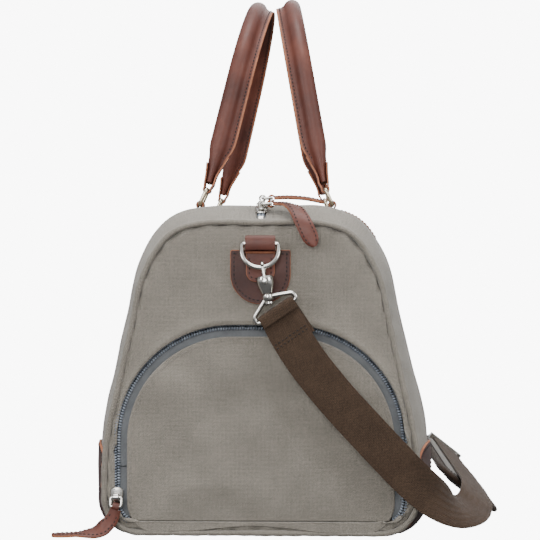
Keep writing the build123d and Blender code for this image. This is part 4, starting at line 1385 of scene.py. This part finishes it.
def handleSide(side, leanAngle, word):
    lean = radians(leanAngle)
    ringLean = radians(handle["ringLean"])
    ringUp = Vector((-side * sin(ringLean), 0, cos(ringLean)))
    pivot = Vector((side * handle["anchorX"], 0, handle["anchorZ"])) + ringUp * handle["ringHeight"]
    up = Vector((-side * sin(lean), 0, cos(lean)))
    inward = Vector((-side * cos(lean), 0, -sin(lean)))
    splay = radians(handle["leg"])
    radius = (handle["anchorY"] - handle["legLength"] * sin(splay)) / cos(splay)
    centre = handle["legLength"] * cos(splay) - radius * sin(splay)
    start = handle["start"]
    leg = [Vector((handle["anchorY"] - d * sin(splay), d * cos(splay)))
           for d in [start + (handle["legLength"] - start) * i / 26 for i in range(26)]]
    bow = arcPoints((0, centre), radius, handle["leg"], 180 - 2 * handle["leg"], 60)
    line = [pivot + up * p.y + yWay * p.x for p in leg + bow + mirrored(leg)]
    run = lengths(line)
    rows, edgeLine = [], []
    for i, p in enumerate(line):
        out = heading(line, i).cross(inward).normalized()
        if out.dot(p - (pivot + up * centre)) < 0:
            out = -out
        toEnd = min(run[i], run[-1] - run[i])
        thick, wide, reach = rollSize(toEnd)
        shift = 0.0009 * noise.noise(Vector((p.x * 30, p.y * 22, p.z * 22)))
        leaf = handle["flap"]
        rootA, rootB = thick * cos(radians(36)), wide * sin(radians(36))
        gap = reach - rootA
        profile = [
            (reach, 0.0), (reach - 0.0002, 0.35 * leaf), (reach, leaf * 0.93), (reach - 0.19 * gap, leaf),
            (reach - 0.55 * gap, leaf * 1.08), (reach - 0.88 * gap, leaf + (rootB - leaf) * 0.5),
        ]
        for k in range(17):
            angle = radians(36 + 288 * k / 16)
            profile.append((thick * cos(angle), (wide + shift) * sin(angle)))
        profile += [(a, -b) for a, b in reversed(profile[:6])]
        rows.append([p + inward * a + out * b for a, b in profile])
        edgeLine.append((p + inward * (reach - 0.0034), out, out * (leaf * 1.06 + 0.0001)))
    wide = len(rows[0])
    cover = gridPiece(word + "_handle_roll", rows, brownCut,
                      slots=lambda r, c: 1 if c in (0, 1, 2, wide - 2, wide - 3, wide - 4) else 0)

    def closeEnds(work):
        work.verts.ensure_lookup_table()
        for r in (0, len(rows) - 1):
            ring = [work.verts[r * wide + c] for c in range(wide)]
            cap = work.faces.new(ring if r else list(reversed(ring)))
            cap.material_index = 1

    sharpEdges(outwardFaces(reworked(cover, closeEnds)), 50)
    settle(cover, word + "_handle", "leather", word + "_handle_cover", word + "_handle_core")
    sewn = edgeLine[3:-3]
    stitch(word + "_handle", [p + lift for p, _, lift in sewn], [out for _, out, _ in sewn])
    stitch(word + "_handle", [p - lift for p, _, lift in sewn], [-out for _, out, _ in sewn])

    ends = []
    for end in (-1, 1):
        foot = pivot + Vector((0, end * handle["anchorY"], 0))
        rise = (up * cos(splay) + Vector((0, -end * sin(splay), 0))).normalized()
        mid = handle["wrap"]
        loop = []
        for d in (0.034, 0.029, 0.024, 0.019, 0.0145, 0.010, 0.006):
            past = max(0.0, d - handle["start"])
            clear = rollSize(past)[2] + (0.0005 if past else 0.0007)
            loop.append(foot + rise * d + inward * (clear if past else min(mid + 0.30 * d, clear)))
        for k in range(13):
            angle = radians(20 - 220 * k / 12)
            loop.append(foot + inward * mid * cos(angle) + rise * mid * sin(angle))
        for d in (0.006, 0.010, 0.0145, 0.019, 0.024):
            past = max(0.0, d - handle["start"])
            loop.append(foot + rise * d - inward * (rollSize(past)[0] + 0.0003 if past else mid + 0.10 * d))
        normals = foldNormals(loop, yWay, foot + rise * 0.006)
        ends.append(band("end", loop, normals, handle["strapWidth"], hideThickness, brownCut, columns=7,
                         widthAt=lambda share: 0.30 + 0.70 * eased(share / 0.33)))
    settle(joined(word + "_handle_feet", ends), word + "_handle", "leather", word + "_handle_ends")

    rings, tabs = [], []
    for end in (-1, 1):
        anchor = Vector((side * handle["anchorX"], end * handle["anchorY"], handle["anchorZ"]))
        half, tall = handle["ringWidth"] / 2, handle["ringHeight"]
        corners = [(-half, 0), (half, 0), (half, tall), (-half, tall)]
        frameLine = [anchor + Vector((0, a, 0)) + ringUp * b for a, b in corners]
        frameLine = roundedLine(frameLine, 0.0042, closed=True)
        rings.append(tube("ring", frameLine, handle["ringWire"], warmNickel, closed=True))
        y = end * handle["anchorY"]
        here = shareAt(y, lambda p: p.y > 0.05 and p.x < handle["anchorX"] + 0.004)
        girth = girthAt(y)
        line, normals = [], []
        for k in range(20):
            share = here - (handle["tabReach"] * (1 - k / 19)) / girth
            p = bodyPoint(side, share, y, 0.0005 + 0.001)
            line.append(p)
            normals.append((bodyPoint(side, share, y, 0.01) - p).normalized())
        for k in range(15):
            angle = radians(-62 + 318 * k / 14)
            direction = Vector((side * cos(angle), 0, sin(angle)))
            line.append(anchor + direction * handle["wrap"])
            normals.append(direction)
        tabs.append(band("tab", line, normals, handle["tabWidth"], hideThickness, brownCut, columns=7))
        for edge in (-1, 1):
            sewn = [p + Vector((0, edge * (handle["tabWidth"] / 2 - 0.0028), 0)) + n * 0.0011
                    for p, n in zip(line[1:18], normals[1:18])]
            stitch("bag", sewn, normals[1:18])
    settle(joined(word + "_handle_frames", rings), word + "_rings", "ring_metal", word + "_rings")
    settle(joined(word + "_handle_anchors", tabs), "bag", "leather", word + "_handle_tabs")


handleSide(-1, 13.5, "left")
handleSide(1, 10.0, "right")
print("handles done")

# rings and snap hooks on the ends
dRing = {"half": 0.0155, "drop": 0.0215, "wire": 0.002, "tilt": 23, "bend": 0.003}
hook = {
    "centre": Vector((0.002798, -0.275276, 0.226217)), "axis": Vector((0.169571, 0, -0.985518)),
    "claw": 0.0066, "start": 35, "end": 260,
}
loopWire = {"lean": 34, "height": 0.014, "half": 0.0196, "shoulder": 0.006, "wire": 0.002, "swivel": 0.02340}
lean = radians(loopWire["lean"])
strapDown = Vector((sin(lean), 0, -cos(lean)))
strapAcross = Vector((cos(lean), 0, sin(lean)))


def endHardware(sign, word):
    tilt = radians(dRing["tilt"])
    origin = Vector((0, sign * ringTab["barY"], ringTab["bar"]))
    down = Vector((0, sign * sin(tilt), -cos(tilt)))
    leg = dRing["drop"] - dRing["half"]
    half = dRing["half"]
    corners = [Vector(p) for p in ((-half, leg), (-half, 0), (half, 0), (half, leg))]
    flat = roundedLine(corners, dRing["bend"] / 0.8) + arcPoints((0, leg), half, 0, 180, 36)[1:-1]
    wire = [origin + Vector((p.x, 0, 0)) + down * p.y for p in flat]
    ring = tube(word + "_d_frame", wire, dRing["wire"], polishedNickel, closed=True, sides=16)
    settle(ring, word + "_d_ring", "nickel", word + "_d_ring")

    centre = Vector((hook["centre"].x, -sign * hook["centre"].y, hook["centre"].z))
    away = Vector((0, sign, 0))
    along = hook["axis"]
    reach = hook["claw"]

    def place(a, b):
        return centre + away * a - along * b

    turns = [radians(hook["start"] + (hook["end"] - hook["start"]) * i / 40) for i in range(41)]
    claw = [place(reach * cos(t), reach * sin(t)) for t in turns]
    claw.append(place(-0.0004, -reach - 0.0012))
    hookPieces = [tube("claw", claw, lambda s: 0.00145 + 0.0015 * max(0.0, s - 0.35) / 0.65, polishedNickel,
                       sides=16)]
    outline = [
        (0.0, 0.0048), (0.0042, 0.0048), (0.0064, 0.0054), (0.0073, 0.0070), (0.0073, 0.0110),
        (0.0066, 0.0140), (0.0056, 0.0172), (0.0046, 0.0199), (0.0024, 0.0203), (0.0021, 0.0212),
        (0.0021, 0.0262), (0.0026, 0.0270), (0.0036, 0.0272), (0.0037, 0.0286), (0.0030, 0.0290),
        (0.0, 0.0290),
    ]
    hookPieces.append(lathe("barrel", outline, centre, along, polishedNickel, 32))
    settle(joined(word + "_snap_hook", hookPieces), word + "_hook", "nickel", word + "_hook")

    boltX = reach * cos(radians(hook["start"]))
    top = reach * sin(radians(hook["start"])) - 0.0020
    bolt = [tube("pin", [place(boltX, top), place(boltX, top - 0.0008), place(boltX, -0.0115)],
                 lambda s: 0.0009 if s == 0 else 0.0013, polishedNickel, sides=14)]
    knob = [(0.0, 0.0006), (0.0017, 0.0006), (0.0024, 0.0012), (0.0024, 0.0026), (0.0018, 0.0036),
            (0.0, 0.0038)]
    bolt.append(lathe("knob", knob, place(boltX, -0.0099), away, polishedNickel, 20))
    settle(joined(word + "_hook_bolt", bolt), word + "_bolt", "nickel", word + "_bolt")

    swivel = centre + along * loopWire["swivel"]
    half, tall = loopWire["half"], loopWire["height"]
    right = [(half, tall), (half, tall - loopWire["shoulder"]), (0.003, 0.0005)]
    corners = [(-a, b) for a, b in reversed(right)] + right
    wire = roundedLine([swivel + strapAcross * a + strapDown * b for a, b in corners], 0.0034)
    pieces = [tube("wire", wire, loopWire["wire"], polishedNickel, sides=16)]
    collar = [(0.0026, -0.0025), (0.0041, -0.0025), (0.0045, -0.0015), (0.0045, 0.0015), (0.0041, 0.0025),
              (0.0026, 0.0025), (0.0026, -0.0025)]
    pieces.append(lathe("collar", collar, swivel, along, polishedNickel))
    settle(joined(word + "_strap_frame", pieces), "strap", "nickel", word + "_strap_loop")


endHardware(-1, "near")
endHardware(1, "far")
print("hardware done")

# shoulder strap
strapRoute = [
    (0.01644, -0.27528, 0.18881), (0.027, -0.27728, 0.166), (0.058, -0.27928, 0.125),
    (0.098, -0.28028, 0.082), (0.134, -0.27628, 0.044), (0.162, -0.262, 0.023), (0.182, -0.232, 0.019),
    (0.18969, -0.204, 0.03012), (0.18969, -0.138, 0.0301), (0.18969, -0.088, 0.03012),
    (0.18969, -0.042, 0.0301),
]
strapRoute += [(x, -y, z) for x, y, z in reversed(strapRoute)]
strap = {"width": 0.034, "thickness": 0.0024, "length": 1.064, "bar": Vector((0.0146, -0.27528, 0.19155))}
padFacing = Vector((0.6157, 0.0, 0.7880))
strapFacing = [near] * 6 + [Vector((0.15, -0.95, 0.2)), Vector((0.45, -0.7, 0.5))] + [padFacing] * 8

route = bpy.data.curves.new("strap route", "CURVE")
route.dimensions = "3D"
route.resolution_u = 14
spline = route.splines.new("NURBS")
spline.points.add(len(strapRoute) - 1)
for knot, place in zip(spline.points, strapRoute):
    knot.co = (*place, 1.0)
spline.order_u = 3
spline.use_endpoint_u = True
routeObject = bpy.data.objects.new("strap route", route)
bpy.context.scene.collection.objects.link(routeObject)
read = bpy.data.meshes.new_from_object(routeObject)
strapLine = spaced([v.co.copy() for v in read.vertices], 301)
bpy.data.objects.remove(routeObject)
strapNormals = []
for index in range(len(strapLine)):
    share = index / (len(strapLine) - 1)
    half = 2 * min(share, 1 - share)
    place = half * (len(strapFacing) - 1)
    first = min(int(place), len(strapFacing) - 2)
    normal = strapFacing[first].lerp(strapFacing[first + 1], place - first)
    strapNormals.append(Vector((normal.x, normal.y if share < 0.5 else -normal.y, normal.z)))
webbing = band("shoulder_webbing", strapLine, strapNormals, strap["width"], strap["thickness"],
               webbingFaces, rounding=0.45, columns=11)
settle(webbing, "strap", "webbing", "near_webbing", "far_webbing")

strapEnds = []
for sign, word in ((-1, "near"), (1, "far")):
    bar = Vector((strap["bar"].x, -sign * strap["bar"].y, strap["bar"].z))
    away = Vector((0, sign, 0))
    r = loopWire["wire"] + 0.0003 + strap["thickness"] / 2
    line = [bar + away * r + strapDown * d for d in (0.0062, 0.0035, 0.0015)]
    line += [bar + away * r * cos(radians(a)) - strapDown * r * sin(radians(a)) for a in range(0, 181, 15)]
    for i, d in enumerate((0.004, 0.010, 0.018, 0.026, 0.031)):
        line.append(bar - away * (r - 0.0008 * i) + strapDown * d)
    normals = foldNormals(line, strapAcross, bar + strapDown * 0.004)
    fold = band(word + "_strap_fold", line, normals, strap["width"], strap["thickness"],
                webbingFaces, rounding=0.45)
    settle(fold, "strap", "webbing")
    strapEnds.append(fold)
    ownHalf = [p for p in strapLine if p.y * sign >= 0]
    for d in (0.0235, 0.0275):
        heart = min(ownHalf, key=lambda p: abs((p - bar).dot(strapDown) - d))
        sewn = [heart + strapAcross * x + away * 0.0013 for x in (-0.0145, -0.007, 0, 0.007, 0.0145)]
        stitch("strap", sewn, away)

pad = {
    "centre": Vector((0.186, 0, 0.02539)), "width": 0.060, "length": 0.300, "thick": 0.009, "corner": 0.016,
    "binding": 0.005, "swell": 0.0036, "voxel": 0.004, "underStrap": 0.0042,
}
padAcross = Vector((0.7880, 0, -0.6157))


def onPad(u, v, h):
    return pad["centre"] + padAcross * u + yWay * v + padFacing * (h - pad["thick"] / 2)


def padLoop(grow):
    half, long, r = pad["width"] / 2 + grow, pad["length"] / 2 + grow, pad["corner"] + grow
    x, y = half - r, long - r
    corners = ((x, -y, -90), (x, y, 0), (-x, y, 90), (-x, -y, 180))
    return evenLoop([p for u, v, start in corners for p in arcPoints((u, v), r, start, 90, 8)], 240)


shoulderPad = plate("shoulder_pad_cushion", padLoop(-0.0012), onPad, pad["thick"] - 0.001, [padCloth],
                    rings=8, soften=0.002)
remesh = shoulderPad.modifiers.new("even", "REMESH")
remesh.mode = "VOXEL"
remesh.voxel_size = pad["voxel"]
applied(shoulderPad)
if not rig.quick():
    rest = [v.co.copy() for v in shoulderPad.data.vertices]
    cloth = shoulderPad.modifiers.new("cloth", "CLOTH")
    cloth.settings.use_pressure = True
    cloth.settings.uniform_pressure_force = 4
    cloth.settings.effector_weights.gravity = 0
    for moment in range(1, 21):
        bpy.context.scene.frame_set(moment)
    applied(shoulderPad)
    bpy.context.scene.frame_set(1)
    for vertex, before in zip(shoulderPad.data.vertices, rest):
        lift = (vertex.co - before).dot(padFacing)
        vertex.co = before + padFacing * max(-pad["swell"], min(pad["swell"], lift))
softer = shoulderPad.modifiers.new("softer", "SUBSURF")
softer.levels = softer.render_levels = 1
applied(shoulderPad)
for vertex in shoulderPad.data.vertices:
    local = vertex.co - pad["centre"]
    u, v, h = local.dot(padAcross), local.y, local.dot(padFacing)
    press = max(0.0, 1 - max(0.0, abs(u) - 0.0175) / 0.006)
    limit = pad["underStrap"] * press + 0.0085 * (1 - press)
    seam = 0.0011 * exp(-((abs(u) - 0.0215) / 0.0016) ** 2) if abs(v) < 0.14 else 0.0
    rim = max(0.0, min(1.0, max((abs(u) - 0.0225) / 0.004, (abs(v) - 0.1425) / 0.004)))
    if h > 0:
        h = min(h, limit * (1 - rim) + 0.0024 * rim) - seam
    else:
        h = max(h, -0.0052 * (1 - rim) - 0.0024 * rim) + seam
    u = min(max(u, -0.0300), 0.0300)
    v = min(max(v, -0.1500), 0.1500)
    vertex.co = pad["centre"] + padAcross * u + yWay * v + padFacing * h
shoulderPad.data.polygons.foreach_set("use_smooth", [True] * len(shoulderPad.data.polygons))
uvLayer = shoulderPad.data.uv_layers.new(name="cloth")
for polygon in shoulderPad.data.polygons:
    for loopIndex in polygon.loop_indices:
        local = shoulderPad.data.vertices[shoulderPad.data.loops[loopIndex].vertex_index].co - pad["centre"]
        uvLayer.data[loopIndex].uv = (local.dot(padAcross), local.y)
shoulderPad.data.materials.clear()
shoulderPad.data.materials.append(padCloth)
settle(shoulderPad, "strap", "pad_canvas", "shoulder_pad")
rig.padded(shoulderPad, fill=0.7)

rings = []
loopIn, loopOut = padLoop(-0.0045), padLoop(pad["binding"])
for a, b in zip(loopIn, loopOut):
    ring = []
    for k in range(14):
        angle = tau * k / 14
        share = 0.5 - 0.5 * cos(angle)
        thick = 0.0034 * (1 - 0.35 * share ** 3) * min(1.0, abs(sin(angle)) ** 0.45)
        p = a.lerp(b, share)
        ring.append(onPad(p.x, p.y, pad["thick"] / 2 + (thick if angle < pi else -thick)))
    rings.append(ring)
rings.append([p.copy() for p in rings[0]])
run = lengths([r[0] for r in rings])
uvs = [(k * 0.0013, run[r]) for r in range(len(rings)) for k in range(14)]
binding = gridPiece("pad_edge_tape", rings, [bindingTwill], closed=True, uvs=uvs)
outwardFaces(binding)
settle(binding, "strap", "webbing", "pad_binding")
line = [onPad(p.x, p.y, pad["thick"] / 2 + 0.0036) for p in padLoop(-0.0024)]
stitch("strap", line + [line[0]], padFacing)
print("strap and pad done")

# sliders, links and pulls
slider = {"length": 0.016, "width": 0.011, "top": 0.00275, "plate": 0.0013, "eye": 0.00695, "pin": 0.0013}
link = {"half": 0.0046, "wire": 0.0012, "reach": Vector((0.008, 0, 0)), "drop": Vector((0, -0.0024, -0.0076))}
pull = {"width": 0.0140, "thickness": 0.0024, "crown": 0.0010}


def sliderPieces(name, body, node, origin, across, along, normal, bore):
    def place(u, v, h):
        dome = 0.0007 * (1 - (u / 0.006) ** 2) * (1 - (v / 0.0085) ** 2) if h > 0.001 else 0
        return origin + across * u + along * v + normal * (slider["top"] - slider["plate"] + h + dome)

    def lip(u, v, h):
        return origin + across * u + along * v + normal * (-0.0006 + h)

    half, long = slider["width"] / 2, slider["length"] / 2
    right = [(half * 0.55, -long), (half * 0.80, -long * 0.55), (half, long * 0.10), (half, long * 0.72),
             (half * 0.45, long)]
    shield = [Vector(p) for p in right + [(-u, v) for u, v in reversed(right)]]
    loop = roundedLine(shield, 0.003, closed=True, steps=4)
    pieces = [plate("top", loop, place, slider["plate"], [polishedNickel], rings=5)]
    for side in (-1, 1):
        wall = [Vector((side * (half - 0.0002), v)) for v in (-0.0035, 0.0, 0.003, 0.0058)]
        wall += [Vector((side * (half - 0.0014), v)) for v in (0.0058, 0.003, 0.0, -0.0035)]
        if side < 0:
            wall.reverse()
        pieces.append(plate("wall", wall, lip, 0.0023, [polishedNickel], rings=2, soften=0.0003))
    neck = [(0.0, 0.0022), (0.0031, 0.0026), (0.0024, 0.0036), (0.0020, 0.0048), (0.0, 0.0050)]
    pieces.append(lathe("neck", neck, origin, normal, polishedNickel, 20))
    eye = [(0.00172, -0.0023), (0.0026, -0.0026), (0.0032, -0.0020), (0.0033, 0.0), (0.0032, 0.0020),
           (0.0026, 0.0026), (0.00172, 0.0023), (0.00172, -0.0023)]
    pieces.append(lathe("eye", eye, origin + normal * slider["eye"], bore, polishedNickel, 24))
    settle(joined(name, pieces), body, "nickel", node)


slope = Vector((0, 0.909474, 0.41576))
nearLug, farLug = Vector((0, -0.23989, 0.282835)), Vector((0, -0.212, 0.28895))
endLug = Vector((-0.122, -0.2675, 0.034))
slopeUp = xWay.cross(slope)
for word, lug, along, up in (("near", nearLug, slope, slopeUp), ("far", farLug, yWay, zWay)):
    node = word + "_top_slider"
    sliderPieces(word + "_slider_body", node, node, lug - up * slider["eye"], xWay, along, up, yWay)
endFoot = endLug + yWay * slider["eye"]
sliderPieces("end_slider_body", "end_slider", "end_slider", endFoot, xWay, zWay, -yWay, xWay)


def linkPiece(name, body, node, centre, reach, bore):
    half = bore * link["half"]
    corners = [centre - half, centre + half, centre + reach + half, centre + reach - half]
    wire = roundedLine(corners, 0.0016, closed=True, steps=4)
    settle(tube(name, wire, link["wire"], polishedNickel, closed=True), body, "nickel", node)


def pullPiece(name, body, node, bar, corners, normals):
    line = spaced(roundedLine(corners, 0.02, steps=10), 64)
    facings = []
    for k in range(64):
        place = k / 63 * (len(normals) - 1)
        first = min(int(place), len(normals) - 2)
        facings.append(normals[first].lerp(normals[first + 1], place - first))

    def shape(share):
        grow = 0.62 + 0.38 * min(1.0, share / 0.30)
        tail = max(0.0, share - 0.84) / 0.16
        return grow * max(0.10, (1 - tail * tail)) ** 0.5

    tongue = band("tongue", line, facings, pull["width"], pull["thickness"], brownCut,
                  crown=pull["crown"], widthAt=shape, columns=13)
    first = (corners[1] - corners[0]).normalized()
    normal = normals[0].normalized()
    r = slider["pin"] + 0.0004 + 0.0008
    turned = [bar + first * r * cos(radians(a)) + normal * r * sin(radians(a)) for a in range(35, 326, 15)]
    ups = [(p - bar).normalized() for p in turned]
    eyelet = band("fold", turned, ups, 0.0058, 0.0016, brownCut, columns=5)
    settle(joined(name, [tongue, eyelet]), body, "leather", node)
    run = lengths(line)
    for edge in (-1, 1):
        sewn, faces = [], []
        for k in range(6, 60):
            along = (line[k + 1] - line[k - 1]).normalized()
            n = (facings[k] - along * facings[k].dot(along)).normalized()
            side = along.cross(n)
            wide = shape(k / 63) * pull["width"] / 2
            sewn.append(line[k] + side * edge * (wide - 0.0022) + n * (pull["thickness"] / 2 + 0.0006))
            faces.append(n)
        stitch(body, sewn, faces)


nearBar, farBar, endBar = nearLug + link["reach"], farLug + link["reach"], endLug + link["drop"]
linkPiece("near_pull_link", "near_top_pull", "near_top_link", nearLug, link["reach"], yWay)
linkPiece("far_pull_link", "far_top_pull", "far_top_link", farLug, link["reach"], yWay)
linkPiece("end_pull_link", "end_pull", "end_link", endLug, link["drop"], xWay)


def placed(bar, steps):
    return [bar + Vector(step) for step in steps]


nearSteps = [(0.003, 0, 0), (0.0125, -0.0025, -0.0003), (0.022, -0.018, -0.004), (0.029, -0.0315, -0.018),
             (0.038, -0.0325, -0.037)]
nearNormals = [zWay, Vector((0.3, -0.3, 0.9)), Vector((0.3, -0.9, 0.4)), Vector((0, -1, 0.1)), -yWay]
nearPoints = placed(nearBar, nearSteps)
pullPiece("near_leather_pull", "near_top_pull", "near_top_pull", nearBar, nearPoints, nearNormals)
farSteps = [(0.0025, 0, 0), (0.014, -0.001, 0.0005), (0.030, -0.002, -0.0005), (0.046, -0.002, -0.004)]
farNormals = [zWay, Vector((0.05, 0, 1)), Vector((0.15, 0, 1))]
pullPiece("far_leather_pull", "far_top_pull", "far_top_pull", farBar, placed(farBar, farSteps), farNormals)
onFloor = ((-0.014, -0.001, 0.005), (-0.034, -0.001, 0.0024), (-0.054, 0.001, 0.0016))
endPoints = placed(endBar, [(0, 0, -0.0025), (-0.003, -0.0005, -0.011)])
endPoints += [Vector((endBar.x + x, endBar.y + y, z)) for x, y, z in onFloor]
endNormals = [-yWay, Vector((0.1, -0.6, 0.6)), zWay, zWay]
pullPiece("end_leather_pull", "end_pull", "end_pull", endBar, endPoints, endNormals)
print("sliders and pulls done")

# plain CAD nodes, stitches, cord
plain = {"top_zip_stops": polishedNickel, "base_board": boardPlastic, "strap_adjuster": polishedNickel}
for word, finish in plain.items():
    cad[word].data.materials.clear()
    cad[word].data.materials.append(finish)

threads = {
    "leather": (brownThread, {"Bead": (0.00125, 0.00055, 0.00045), "Wander": 0.05, "Seed": 9}),
    "canvas": (greyThread, {"Bead": (0.00125, 0.00026, 0.00026), "Wander": 0.08, "Seed": 4}),
}
stitchLength = 0.0036
sewnOn = {}
for (body, kind), lines in seams.items():
    thread, sizes = threads[kind]
    piece = beadRow(body + "_" + kind + "_stitches", lines, thread, Spacing=stitchLength, **sizes)
    sewnOn[(body, kind)] = settle(piece, body, kind)

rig.cord(webbing, exit=strapLine[0], length=strap["length"], diameter=strap["width"], far_end="object",
        stiffness="limp", lay="loose", path=strapLine,
        with_pieces=[shoulderPad, binding, sewnOn[("strap", "leather")], *strapEnds, "near_strap_frame",
                     "far_strap_frame", "near_snap_hook", "far_snap_hook", "near_hook_bolt", "far_hook_bolt",
                     cad["strap_adjuster"]])
print("cord declared")

# lamps, and a world that the camera sees as flat white
lamps = {
    "top": ((0.1, -0.4, 2.0), 1.3, 30),
    "left": ((-1.8, -1.5, 1.1), 1.0, 20),
    "right": ((1.7, -1.2, 1.0), 0.9, 16),
    "front": ((-0.3, -2.6, 0.9), 1.2, 34),
    "back": ((0.3, 2.0, 1.5), 1.4, 16),
}
stageSet = []
for word, (place, size, power) in lamps.items():
    lamp = bpy.data.lights.new(word, "AREA")
    lamp.shape = "DISK"
    lamp.size = size
    lamp.energy = power
    holder = bpy.data.objects.new(word + " lamp", lamp)
    holder.location = place
    holder.rotation_euler = (Vector((0, 0, 0.2)) - Vector(place)).to_track_quat("-Z", "Y").to_euler()
    bpy.context.scene.collection.objects.link(holder)
    stageSet.append(holder)
world = bpy.data.worlds.new("studio")
world.use_nodes = True
air = world.node_tree
glow = air.nodes["Background"]
glow.inputs["Strength"].default_value = 0.56
where, height = air.nodes.new("ShaderNodeTexCoord"), air.nodes.new("ShaderNodeSeparateXYZ")
level, bands = air.nodes.new("ShaderNodeMapRange"), air.nodes.new("ShaderNodeValToRGB")
level.inputs["From Min"].default_value = -1.0
air.links.new(where.outputs["Generated"], height.inputs[0])
air.links.new(height.outputs["Z"], level.inputs["Value"])
air.links.new(level.outputs["Result"], bands.inputs["Fac"])
air.links.new(bands.outputs["Color"], glow.inputs["Color"])
# height in the sky and its brightness there: two dark bands give the metal its contrast
ladder = (
    (0.0, 0.25), (0.42, 0.30), (0.47, 1.25), (0.60, 1.35),
    (0.64, 0.10), (0.70, 0.08), (0.76, 1.5), (1.0, 2.2),
)
for _ in ladder[2:]:
    bands.color_ramp.elements.new(0.5)
for step, (spot, bright) in zip(bands.color_ramp.elements, ladder):
    step.position = spot
for step, (spot, bright) in zip(bands.color_ramp.elements, ladder):
    step.color = rgb(0.97 * bright, 0.985 * bright, bright)
backdrop = air.nodes.new("ShaderNodeBackground")
backdrop.inputs["Color"].default_value = rgb(1, 1, 1)
backdrop.inputs["Strength"].default_value = 9.0
seen, either = air.nodes.new("ShaderNodeLightPath"), air.nodes.new("ShaderNodeMixShader")
air.links.new(seen.outputs["Is Camera Ray"], either.inputs[0])
air.links.new(glow.outputs[0], either.inputs[1])
air.links.new(backdrop.outputs[0], either.inputs[2])
air.links.new(either.outputs[0], air.nodes["World Output"].inputs["Surface"])
bpy.context.scene.world = world
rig.stage(*stageSet)

sizes = {"cad": [list(corner) for corner in cadBox], "visual": [list(corner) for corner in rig.bounds()]}
with open("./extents.json", "w") as file:
    json.dump(sizes, file)
